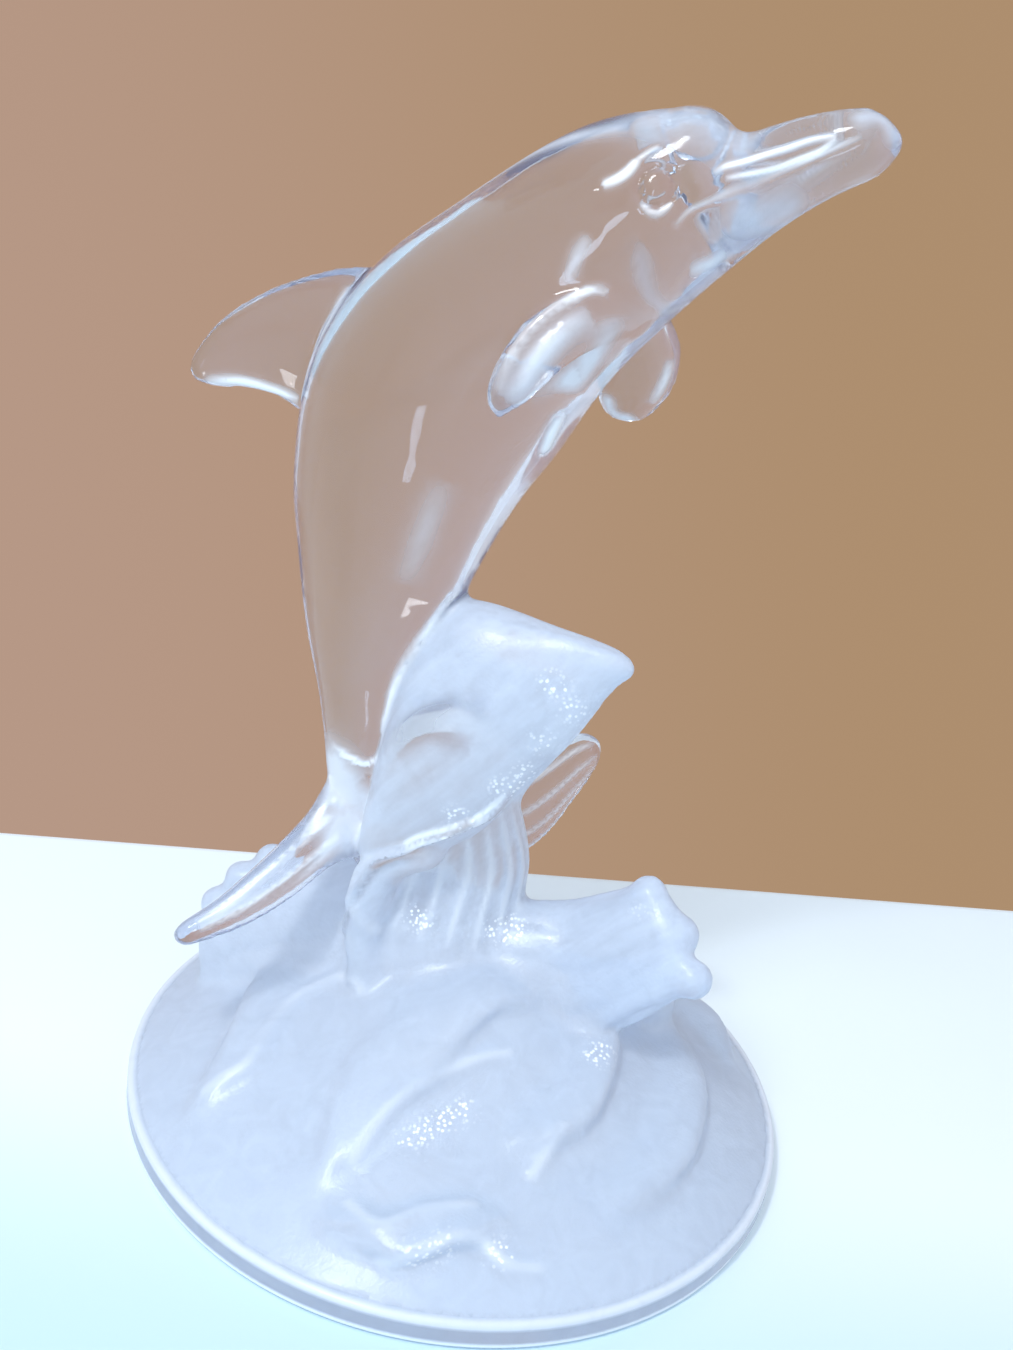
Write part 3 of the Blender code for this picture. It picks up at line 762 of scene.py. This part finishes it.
        # Painted highlights in white along the ripples' crests
        crests += [Stroke(path, 0.6, painted_highlight=0.35) for path in self.ridges]
        return crests + [Stroke(path, 1.4, painted_glints=1.0) for path in self.painted_glints]

    def plate(self) -> Object:
        """Return the turned plate with its polished rim, in metres, standing on z = 0."""
        top, edge, bevel, rings = self.rim_height, self.radius, self.bevel, self.rim_rings
        turns = [radians(angle) for angle in (0, 30, 60, 90)]
        profile = [(0, top), (edge - self.plate_inset, top), (edge - bevel, top)]
        profile += [(edge - bevel * (1 - sin(a)), top - bevel * (1 - cos(a))) for a in turns[1:]]
        profile += [(edge, top - bevel - (top - 2 * bevel) * k / rings) for k in range(1, rings)]
        profile += [(edge - bevel * (1 - cos(a)), bevel * (1 - sin(a))) for a in turns]
        profile += [(0, 0)]
        bm = self.turned(profile)
        bmesh.ops.scale(bm, vec=(MM, MM, MM), verts=bm.verts[:])
        return new_object("base_plate_guide", bm)


def new_object(name: str, bm: BMesh) -> Object:
    """Make an object from bm, put it in the scene and return it."""
    mesh = bpy.data.meshes.new(name)
    bm.to_mesh(mesh)
    bm.free()
    made = bpy.data.objects.new(name, mesh)
    bpy.context.scene.collection.objects.link(made)
    return made


def freeze(made: Object) -> None:
    """Replace an object's mesh by what its modifiers make of it, and remove the modifiers."""
    graph = bpy.context.evaluated_depsgraph_get()
    mesh = bpy.data.meshes.new_from_object(made.evaluated_get(graph))
    made.modifiers.clear()
    old = made.data
    made.data = mesh
    mesh.name = made.name
    bpy.data.meshes.remove(old)


@dataclass
class Casting:
    """The whole ornament as one fine closed skin.

    foot and eased_above bound the part of the dome that is softened, frost_blend is the width over
    which clear glass turns frosted, and rim_middle parts the rim's upper edge from its lower one.
    """

    dolphin: Dolphin = field(default_factory=Dolphin)
    waves: Waves = field(default_factory=Waves)
    base: Base = field(default_factory=Base)
    voxel: float = 0.70
    smoothing: int = 16
    head_from: Pair = (0.0, 122.0)
    eased_above: float = 3.5
    easing: int = 7
    foot: float = 0.5
    polish: float = 0.5
    same_spot: float = 0.002
    sharp_above: float = 50.0
    frost_blend: float = 1.6
    rim_band: float = 1.5
    rim_middle: float = -1.0
    # The rim's finish: frost and painted white highlights on its rounded edges, and frost that brightens its
    # side
    rim_edge_highlight_frost: float = 0.85
    rim_side_sheen_frost: float = 0.40
    rim_top_highlight: float = 0.2
    rim_foot_highlight: float = 0.45
    margin: float = 0.05
    hair: float = 0.01
    meshes: dict[Finish, list[Mesh]] = field(default_factory=dict)

    def forms(self) -> list[Form]:
        """Return every free form of the casting."""
        return self.dolphin.forms() + self.waves.forms() + self.base.forms()

    def strokes(self) -> list[Stroke]:
        """Return every line worked into the skin."""
        return self.dolphin.strokes() + self.waves.strokes() + self.base.strokes()

    def build(self) -> Object:
        """Return the finished casting, with its frost, painted sheen and painted highlights stored as
        attributes.
        """
        self.meshes = {
            finish: [form.bent_sphere() for form in self.forms() if form.finish is finish]
            for finish in Finish
        }
        self.meshes[Finish.FROSTED] += [self.base.dome()] + self.waves.foam_lobes()
        bm = bmesh.new()
        for mesh in self.meshes[Finish.CLEAR] + self.meshes[Finish.FROSTED]:
            bm.from_mesh(mesh)
        made = new_object("dolphin_casting", bm)
        skin = made.modifiers.new("Fuse forms", "REMESH")
        skin.mode = "VOXEL"
        skin.voxel_size = self.voxel
        soften = made.modifiers.new("Fire polish", "SMOOTH")
        soften.factor = self.polish
        soften.iterations = self.smoothing
        freeze(made)
        log.info("skin of %d faces", len(made.data.polygons))
        self.ease_dome(made.data)
        self.refine_head(made.data)
        self.carve(made.data)
        self.stand_on_plate(made)
        self.paint_frost_and_highlights(made.data)
        return made

    def ease_dome(self, mesh: Mesh) -> None:
        """Soften the ripples, so that they flow into the dome."""
        bm = bmesh.new()
        bm.from_mesh(mesh)
        low = [v for v in bm.verts
               if self.foot < v.co.z < self.base.height(hypot(v.co.x, v.co.y)) + self.eased_above]
        for _ in range(self.easing):
            bmesh.ops.smooth_vert(bm, verts=low, factor=self.polish, use_axis_x=True, use_axis_y=True,
                                  use_axis_z=True)
        bm.to_mesh(mesh)
        bm.free()

    def refine_head(self, mesh: Mesh) -> None:
        """Halve the faces of the head, so that it can hold the eyes and the mouth."""
        front, above = self.head_from
        bm = bmesh.new()
        bm.from_mesh(mesh)
        head = [e for e in bm.edges
                if all(v.co.x > front and v.co.z > above for v in e.verts)]
        bmesh.ops.subdivide_edges(bm, edges=head, cuts=1, use_grid_fill=True, smooth=1.0)
        bmesh.ops.triangulate(bm, faces=[f for f in bm.faces if len(f.verts) > 4])
        bm.to_mesh(mesh)
        bm.free()

    def carve(self, mesh: Mesh) -> None:
        """Cut and raise the lines in the skin, and swell the eyes in their rings."""
        count = len(mesh.vertices)
        places, normals = np.zeros((2, count * 3))
        mesh.vertices.foreach_get("co", places)
        mesh.vertices.foreach_get("normal", normals)
        places, normals = places.reshape(-1, 3), normals.reshape(-1, 3)
        rise = np.zeros(count)
        for stroke in self.strokes():
            rows, away, share = stroke.near(places)
            rise[rows] += stroke.height * stroke.strength(away, share)
        animal = self.dolphin
        for eye in animal.eyes():
            away = np.linalg.norm(places - np.array(eye), axis=1)
            from_ring = away - animal.eye_radius * animal.eye_ring_size
            rise += animal.eye_bulge * np.sqrt(np.clip(1 - (away / animal.eye_radius) ** 2, 0, 1))
            rise -= animal.eye_ring_depth * np.exp(-(from_ring / animal.eye_ring_width) ** 2)
        places += normals * rise[:, None]
        lift = np.array((0, 0, self.base.rim_height * MM))
        mesh.vertices.foreach_set("co", (places * MM + lift).ravel())
        mesh.update()

    def stand_on_plate(self, made: Object) -> None:
        """Unite the skin with the turned plate, and shade it smooth up to its hard edges."""
        plate = self.base.plate()
        join = made.modifiers.new("Stand on plate", "BOOLEAN")
        join.operation = "UNION"
        join.solver = "MANIFOLD"
        join.object = plate
        freeze(made)
        bpy.data.objects.remove(plate)
        self.merge_slivers(made.data)
        made.data.set_sharp_from_angle(angle=radians(self.sharp_above))
        for face in made.data.polygons:
            face.use_smooth = True
        log.info("casting of %d faces", len(made.data.polygons))

    def merge_slivers(self, mesh: Mesh) -> None:
        """Merge the points that the union leaves on the same spot, with the faces between them."""
        bm = bmesh.new()
        bm.from_mesh(mesh)
        bmesh.ops.remove_doubles(bm, verts=bm.verts[:], dist=self.same_spot * MM)
        bm.to_mesh(mesh)
        bm.free()

    def paint_frost_and_highlights(self, mesh: Mesh) -> None:
        """Store how frosted each point of the skin is, with the sheen, glints and highlights painted on it.
        """
        trees = {finish: self.tree_of(finish) for finish in Finish}
        lift = Vector((0, 0, self.base.rim_height))
        frost_and_sheen = np.zeros(len(mesh.vertices), np.float32)
        places = np.zeros((len(mesh.vertices), 3))
        for vert in mesh.vertices:
            place = vert.co / MM - lift
            places[vert.index] = place
            clear = trees[Finish.CLEAR].find_nearest(place)[3]
            rough = trees[Finish.FROSTED].find_nearest(place)[3]
            frost_and_sheen[vert.index] = min(max(0.5 + (clear - rough) / self.frost_blend, 0.0), 1.0)
        painted_glints, painted_highlight = np.zeros((2, len(mesh.vertices)), np.float32)
        for stroke in self.strokes():
            if stroke.frost_and_sheen or stroke.painted_glints or stroke.painted_highlight:
                rows, away, share = stroke.near(places)
                strength = stroke.strength(away, share)
                frost_and_sheen[rows] += stroke.frost_and_sheen * strength
                painted_glints[rows] += stroke.painted_glints * strength
                painted_highlight[rows] += stroke.painted_highlight * strength
        self.paint_rim(places, frost_and_sheen, painted_highlight)
        for name, values in (("frost_and_sheen", frost_and_sheen), ("painted_glints", painted_glints), ("painted_highlight", painted_highlight)):
            painted = mesh.attributes.new(name, "FLOAT", "POINT")
            painted.data.foreach_set("value", np.clip(values, 0.0, 1.0))

    def paint_rim(self, places: np.ndarray, frost_and_sheen: np.ndarray, painted_highlight: np.ndarray) -> None:
        """Set the finish of the plate's rim, with painted white highlights and frost on its rounded edges,
        and of its underside.

        Args:
            places: Points on the skin, one a row.
            frost_and_sheen: How frosted each is, painted sheen included.
            painted_highlight: How strongly a white highlight is painted on each.
        """
        base, level = self.base, places[:, 2]
        away = np.hypot(places[:, 0], places[:, 1])
        on_rim = (level < self.margin) & (away > base.radius - self.rim_band)
        near_edge = np.minimum(np.abs(level), np.abs(level + base.rim_height)) < base.bevel + self.margin
        # Painted light on the rim: frost and white on its rounded edges stand in for their highlights, and
        # frost on its side brightens it
        frost_and_sheen[on_rim] = np.where(near_edge, self.rim_edge_highlight_frost, self.rim_side_sheen_frost)[on_rim]
        rounded = near_edge & (away > base.radius - base.bevel - self.hair)
        rim_highlight = np.where(level > self.rim_middle, self.rim_top_highlight, self.rim_foot_highlight)
        painted_highlight[on_rim] = np.where(rounded, rim_highlight, 0.0)[on_rim]
        underside = level < -base.rim_height + self.hair
        frost_and_sheen[underside] = 0.0
        painted_highlight[underside] = 0.0

    def tree_of(self, finish: Finish) -> BVHTree:
        """Return a search tree of all forms with a finish."""
        bm = bmesh.new()
        for mesh in self.meshes[finish]:
            bm.from_mesh(mesh)
        bmesh.ops.triangulate(bm, faces=bm.faces[:])
        tree = BVHTree.FromBMesh(bm)
        bm.free()
        return tree


class Maths:
    """A shader socket that adds maths nodes when it is used in an expression."""

    def __init__(self, nodes: "Nodes", socket: NodeSocket) -> None:
        """Wrap a socket of a node tree."""
        self.nodes = nodes
        self.socket = socket

    def made(self, operation: str, *values: object) -> "Maths":
        """Return the result of a maths operation on values."""
        return self.nodes.value("ShaderNodeMath", {"operation": operation}, dict(enumerate(values)))

    def __add__(self, other: object) -> "Maths":
        """Return the sum."""
        return self.made("ADD", self, other)

    def __sub__(self, other: object) -> "Maths":
        """Return the difference."""
        return self.made("SUBTRACT", self, other)

    def __rsub__(self, other: object) -> "Maths":
        """Return the difference from another value."""
        return self.made("SUBTRACT", other, self)

    def __mul__(self, other: object) -> "Maths":
        """Return the product."""
        return self.made("MULTIPLY", self, other)

    __radd__, __rmul__ = __add__, __mul__

    def clamped(self) -> "Maths":
        """Return the value held between 0 and 1."""
        return self.made("MINIMUM", self.made("MAXIMUM", self, 0.0), 1.0)

    def ramp(self, low: float, high: float) -> "Maths":
        """Return a smooth step from 0 at low to 1 at high."""
        settings = {"interpolation_type": "SMOOTHSTEP"}
        return self.nodes.value("ShaderNodeMapRange", settings, {0: self, 1: low, 2: high})


class Nodes:
    """Makes the nodes of one material or world."""

    def __init__(self, owner: bpy.types.ID) -> None:
        """Empty the node tree of a material or a world."""
        owner.use_nodes = True
        self.tree = owner.node_tree
        self.tree.nodes.clear()

    def node(self, kind: str, settings: dict | None = None, inputs: dict | None = None) -> Node:
        """Return a new node.

        Args:
            kind: The node's type.
            settings: Its own settings, which are set first.
            inputs: Values or links of its sockets, by name or number.

        Returns:
            The node.
        """
        made = self.tree.nodes.new(kind)
        for name, value in (settings or {}).items():
            setattr(made, name, value)
        for name, value in (inputs or {}).items():
            if isinstance(value, Maths):
                value = value.socket
            if isinstance(value, NodeSocket):
                self.tree.links.new(value, made.inputs[name])
            else:
                made.inputs[name].default_value = value
        return made

    def value(self, kind: str, settings: dict | None = None, inputs: dict | None = None,
              output: int | str = 0) -> Maths:
        """Return one output of a new node, ready for maths."""
        return Maths(self, self.node(kind, settings, inputs).outputs[output])

    def painted(self, name: str) -> Maths:
        """Return the value that a piece's own attribute holds."""
        return self.value("ShaderNodeAttribute", {"attribute_name": name}, output="Fac")

    def blend(self, factor: Maths | float, first: Node, second: Node) -> Node:
        """Return a mix of two shaders."""
        return self.node("ShaderNodeMixShader", None, {
            0: factor, 1: first.outputs[0], 2: second.outputs[0]})

    def colour(self, factor: Maths, first: object, second: object) -> NodeSocket:
        """Return a mix of two colours."""
        mixed = self.node("ShaderNodeMix", {"data_type": "RGBA"}, {
            "Factor": factor, 6: first, 7: second})
        return mixed.outputs[2]

    def way(self, output: str) -> tuple[NodeSocket, list[Maths]]:
        """Return a texture coordinate, whole and as its three parts."""
        whole = self.node("ShaderNodeTexCoord").outputs[output]
        parts = self.node("ShaderNodeSeparateXYZ", None, {0: whole})
        return whole, [Maths(self, parts.outputs[axis]) for axis in "XYZ"]


@dataclass(frozen=True)
class CastGlass:
    """Clear fire-polished glass that turns to frosted glass, and to painted white, where the skin says so.

    The sizes, the pits' depth and the heights are in millimetres. The pits roughen the frosted
    skin, the specks are white glints painted in the cells of a pattern, and the frost varies with the
    flow and, on the waves, with streaks that lean as the water runs.
    """

    clear_tint: Colour = (0.98, 0.985, 1.0, 1.0)
    frost_tint: Colour = (0.83, 0.89, 0.99, 1.0)
    # The white painted for highlights and glints
    highlight_white: Colour = (0.97, 0.98, 1.0, 1.0)
    ior: float = 1.5
    clear_roughness: float = 0.01
    frost_roughness: float = 0.30
    frost_transmission: float = 0.30
    glow: float = 0.35
    haze: float = 0.08
    haze_tint: Colour = (0.55, 0.64, 1.0, 1.0)
    grain_size: float = 0.5
    flow_size: float = 5.0
    glint_cell_size: float = 0.65
    streak_length: float = 15.0
    streak_width: float = 2.6
    streak_lean: float = 48.0
    dome_top: float = 24.0
    waves_from: float = 32.0
    pit_strength: float = 0.5
    pit_depth: float = 0.25
    grain_pits: float = 0.4
    flow_pits: float = 0.12
    streak_pits: float = 0.4
    specks: Pair = (0.58, 0.78)
    even_frost: float = 0.82
    flow_frost: float = 0.25
    streak_frost: float = 0.6
    streak_loss: float = 0.33

    def make(self) -> Material:
        """Return the material."""
        material = bpy.data.materials.new("cast_glass")
        nodes = Nodes(material)
        place, (_, _, height) = nodes.way("Object")
        frost_and_sheen, painted_glints, painted_highlight = (nodes.painted(name) for name in ("frost_and_sheen", "painted_glints", "painted_highlight"))
        grain = nodes.value("ShaderNodeTexNoise", None, {
            "Vector": place, "Scale": 1 / (self.grain_size * MM), "Detail": 1.0})
        flow = nodes.value("ShaderNodeTexNoise", None, {
            "Vector": place, "Scale": 1 / (self.flow_size * MM), "Detail": 2.0, "Distortion": 1.0})
        along = nodes.node("ShaderNodeMapping", {"vector_type": "TEXTURE"}, {
            "Vector": place, "Rotation": (0, radians(-self.streak_lean), 0),
            "Scale": (self.streak_length * MM, self.streak_width * MM, self.streak_width * MM)})
        streaks = nodes.value("ShaderNodeTexNoise", None, {
            "Vector": along.outputs[0], "Scale": 1.0, "Detail": 2.0})
        glint_cells = nodes.value("ShaderNodeTexVoronoi", None, {
            "Vector": place, "Scale": 1 / (self.glint_cell_size * MM)})
        on_waves = height.ramp(self.dome_top * MM, self.waves_from * MM)
        pits = (grain * self.grain_pits + flow * self.flow_pits
                + on_waves * streaks * self.streak_pits)
        # Painted light: gleam is where white highlights and white glints in specks are painted
        gleam = (painted_highlight + painted_glints * (1 - glint_cells).ramp(*self.specks)).clamped()
        veins = (self.even_frost + flow * self.flow_frost
                 + on_waves * (streaks * self.streak_frost - self.streak_loss))
        # The frosted glass turns to painted white where the gleam is
        frosted = nodes.blend((gleam * 2.0).clamped(), self.milky(nodes, pits), self.painted_highlight_shader(nodes))
        mixed = nodes.blend((frost_and_sheen * veins + gleam).clamped(), self.hazy(nodes), frosted)
        nodes.node("ShaderNodeOutputMaterial", None, {"Surface": mixed.outputs[0]})
        return material

    def hazy(self, nodes: Nodes) -> Node:
        """Return the clear glass, with a trace of blue haze."""
        clear = nodes.node("ShaderNodeBsdfPrincipled", None, {
            "Base Color": self.clear_tint, "Roughness": self.clear_roughness, "IOR": self.ior,
            "Transmission Weight": 1.0})
        veil = nodes.node("ShaderNodeBsdfTranslucent", None, {"Color": self.haze_tint})
        return nodes.blend(self.haze, clear, veil)

    def milky(self, nodes: Nodes, pits: Maths) -> Node:
        """Return the frosted glass, pitted and lit from within."""
        pitted = nodes.node("ShaderNodeBump", None, {
            "Strength": self.pit_strength, "Distance": self.pit_depth * MM, "Height": pits})
        rough = nodes.node("ShaderNodeBsdfPrincipled", None, {
            "Base Color": self.frost_tint, "Roughness": self.frost_roughness, "IOR": self.ior,
            "Transmission Weight": self.frost_transmission, "Normal": pitted.outputs[0]})
        deep = nodes.node("ShaderNodeBsdfTranslucent", None, {
            "Color": self.frost_tint, "Normal": pitted.outputs[0]})
        return nodes.blend(self.glow, rough, deep)

    def painted_highlight_shader(self, nodes: Nodes) -> Node:
        """Return the white that is painted where a line or a speck should catch the light."""
        return nodes.node("ShaderNodeBsdfPrincipled", None, {
            "Base Color": self.highlight_white, "Roughness": self.frost_roughness, "IOR": self.ior})


@dataclass(frozen=True)
class SoftBox:
    """A soft light that hangs in the room, aimed at the middle of the ornament."""

    name: str
    place: Point
    size: Pair
    power: float
    colour: Point
    aim: Point = (0, 0, 0.07)

    def hang(self) -> None:
        """Hang the light and aim it."""
        data = bpy.data.lights.new(self.name, "AREA")
        data.shape = "RECTANGLE"
        data.size, data.size_y = self.size
        data.energy = self.power
        data.color = self.colour
        light = bpy.data.objects.new(self.name, data)
        light.location = self.place
        way = Vector(self.aim) - Vector(self.place)
        light.rotation_euler = way.to_track_quat("-Z", "Y").to_euler()
        bpy.context.scene.collection.objects.link(light)


@dataclass
class Studio:
    """The pale table, the plain backdrop, the soft lights and the camera."""

    camera_place: Point = (0.0433, -0.1711, 0.1400)
    camera_heading: float = 15.0
    camera_pitch: float = 21.6
    camera_roll: float = 9.4
    lens: float = 36.4
    sensor: float = 36.0
    nearest: float = 0.01
    table_turn: float = 24.85
    table_behind: float = 0.0698
    table_front: float = 0.75
    table_half_width: float = 0.60
    table_thickness: float = 0.025
    table_gap: float = 0.0002
    table_bevel: float = 0.003
    table_roughness: float = 0.4
    grain_scale: float = 400.0
    grain_strength: float = 0.1
    grain_depth: float = 0.0003
    # Painted shade: the table top darkens towards its near edge, over this ramp and along this way
    near_shade_ramp: Pair = (-0.065, 0.0)
    near_shade_way: Pair = (0.26, 0.97)
    table_colour: Colour = (0.86, 0.92, 0.95, 1.0)
    table_near_shade: Colour = (0.57, 0.75, 0.84, 1.0)
    backdrop_left: Colour = (0.47, 0.315, 0.240, 1.0)
    backdrop_right: Colour = (0.42, 0.272, 0.158, 1.0)
    room: Colour = (0.78, 0.87, 0.98, 1.0)
    ceiling: Colour = (0.80, 0.92, 1.06, 1.0)
    ceiling_ramp: Pair = (0.42, 0.8)
    back_ramp: Pair = (0.0, 0.35)
    across_ramp: Pair = (-0.73, -0.03)
    across_lean: float = 0.35
    lights: tuple[SoftBox, ...] = (
        SoftBox("key", (-0.10, -0.30, 0.48), (0.09, 0.22), 1.1, (0.88, 0.95, 1.0)),
        SoftBox("lamp", (-0.10, -0.29, 0.49), (0.025, 0.025), 0.5, (0.92, 0.97, 1.0)),
        SoftBox("window", (0.05, -0.50, 0.14), (0.04, 0.20), 0.20, (0.55, 0.74, 1.0)),
    )

    def build(self) -> None:
        """Make everything round the ornament."""
        bpy.context.scene.view_settings.view_transform = "Standard"
        self.make_table()
        self.make_world()
        self.make_lights()
        self.make_camera()

    def make_table(self) -> None:
        """Make the pale table top, whose back edge runs close behind the ornament, with painted shade towards
        its near edge.
        """
        bm = bmesh.new()
        bmesh.ops.create_cube(bm, size=1.0)
        depth = self.table_front + self.table_behind
        bmesh.ops.scale(bm, vec=(2 * self.table_half_width, depth, self.table_thickness),
                        verts=bm.verts[:])
        bmesh.ops.translate(bm, verts=bm.verts[:], vec=(
            0, self.table_behind - depth / 2, -self.table_thickness / 2 - self.table_gap))
        bmesh.ops.bevel(bm, geom=bm.edges[:], offset=self.table_bevel, affect="EDGES", segments=4,
                        profile=0.5, material=-1)
        bmesh.ops.rotate(bm, cent=(0, 0, 0), matrix=Matrix.Rotation(radians(self.table_turn), 3, "Z"),
                         verts=bm.verts[:])
        table = new_object("table_top", bm)
        material = bpy.data.materials.new("pale_table")
        nodes = Nodes(material)
        place, (x, y, _) = nodes.way("Object")
        grain = nodes.value("ShaderNodeTexNoise", None, {"Vector": place, "Scale": self.grain_scale})
        bump = nodes.node("ShaderNodeBump", None, {
            "Strength": self.grain_strength, "Distance": self.grain_depth, "Height": grain})
        # Painted shade, darker towards the near edge
        away = y * self.near_shade_way[1] - x * self.near_shade_way[0]
        shaded_tone = nodes.colour(away.ramp(*self.near_shade_ramp), self.table_near_shade, self.table_colour)
        shader = nodes.node("ShaderNodeBsdfPrincipled", None, {
            "Base Color": shaded_tone, "Roughness": self.table_roughness, "Normal": bump.outputs[0]})
        nodes.node("ShaderNodeOutputMaterial", None, {"Surface": shader.outputs[0]})
        table.data.materials.append(material)

    def make_world(self) -> None:
        """Make a plain warm backdrop behind, a pale room in front and a pale ceiling above."""
        world = bpy.data.worlds.new("studio")
        bpy.context.scene.world = world
        nodes = Nodes(world)
        _, (x, y, z) = nodes.way("Generated")
        across = (x + z * self.across_lean).ramp(*self.across_ramp)
        backdrop = nodes.colour(across, self.backdrop_left, self.backdrop_right)
        walls = nodes.colour(y.ramp(*self.back_ramp), self.room, backdrop)
        mixed = nodes.colour(z.ramp(*self.ceiling_ramp), walls, self.ceiling)
        shade = nodes.node("ShaderNodeBackground", None, {"Color": mixed, "Strength": 1.0})
        nodes.node("ShaderNodeOutputWorld", None, {"Surface": shade.outputs[0]})

    def make_lights(self) -> None:
        """Hang the two soft boxes and the small lamp."""
        for light in self.lights:
            light.hang()

    def make_camera(self) -> None:
        """Put the camera at the photograph's place, a little rolled, looking down."""
        data = bpy.data.cameras.new("camera")
        data.sensor_width = self.sensor
        data.lens = self.lens
        data.clip_start = self.nearest
        camera = bpy.data.objects.new("camera", data)
        turn = (Matrix.Rotation(radians(self.camera_heading), 4, "Z")
                @ Matrix.Rotation(radians(90 - self.camera_pitch), 4, "X")
                @ Matrix.Rotation(radians(self.camera_roll), 4, "Z"))
        camera.matrix_world = Matrix.Translation(self.camera_place) @ turn
        bpy.context.scene.collection.objects.link(camera)
        bpy.context.scene.camera = camera


def main() -> None:
    """Build the casting and the studio."""
    logging.basicConfig(level=logging.INFO)
    casting = Casting().build()
    casting.data.materials.clear()
    casting.data.materials.append(CastGlass().make())
    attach(casting, "root")
    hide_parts(SOLID)
    triangles = sum(len(face.vertices) - 2 for face in casting.data.polygons)
    log.info("piece %s: %d triangles", casting.name, triangles)
    Studio().build()


if __name__ == "__main__":
    main()
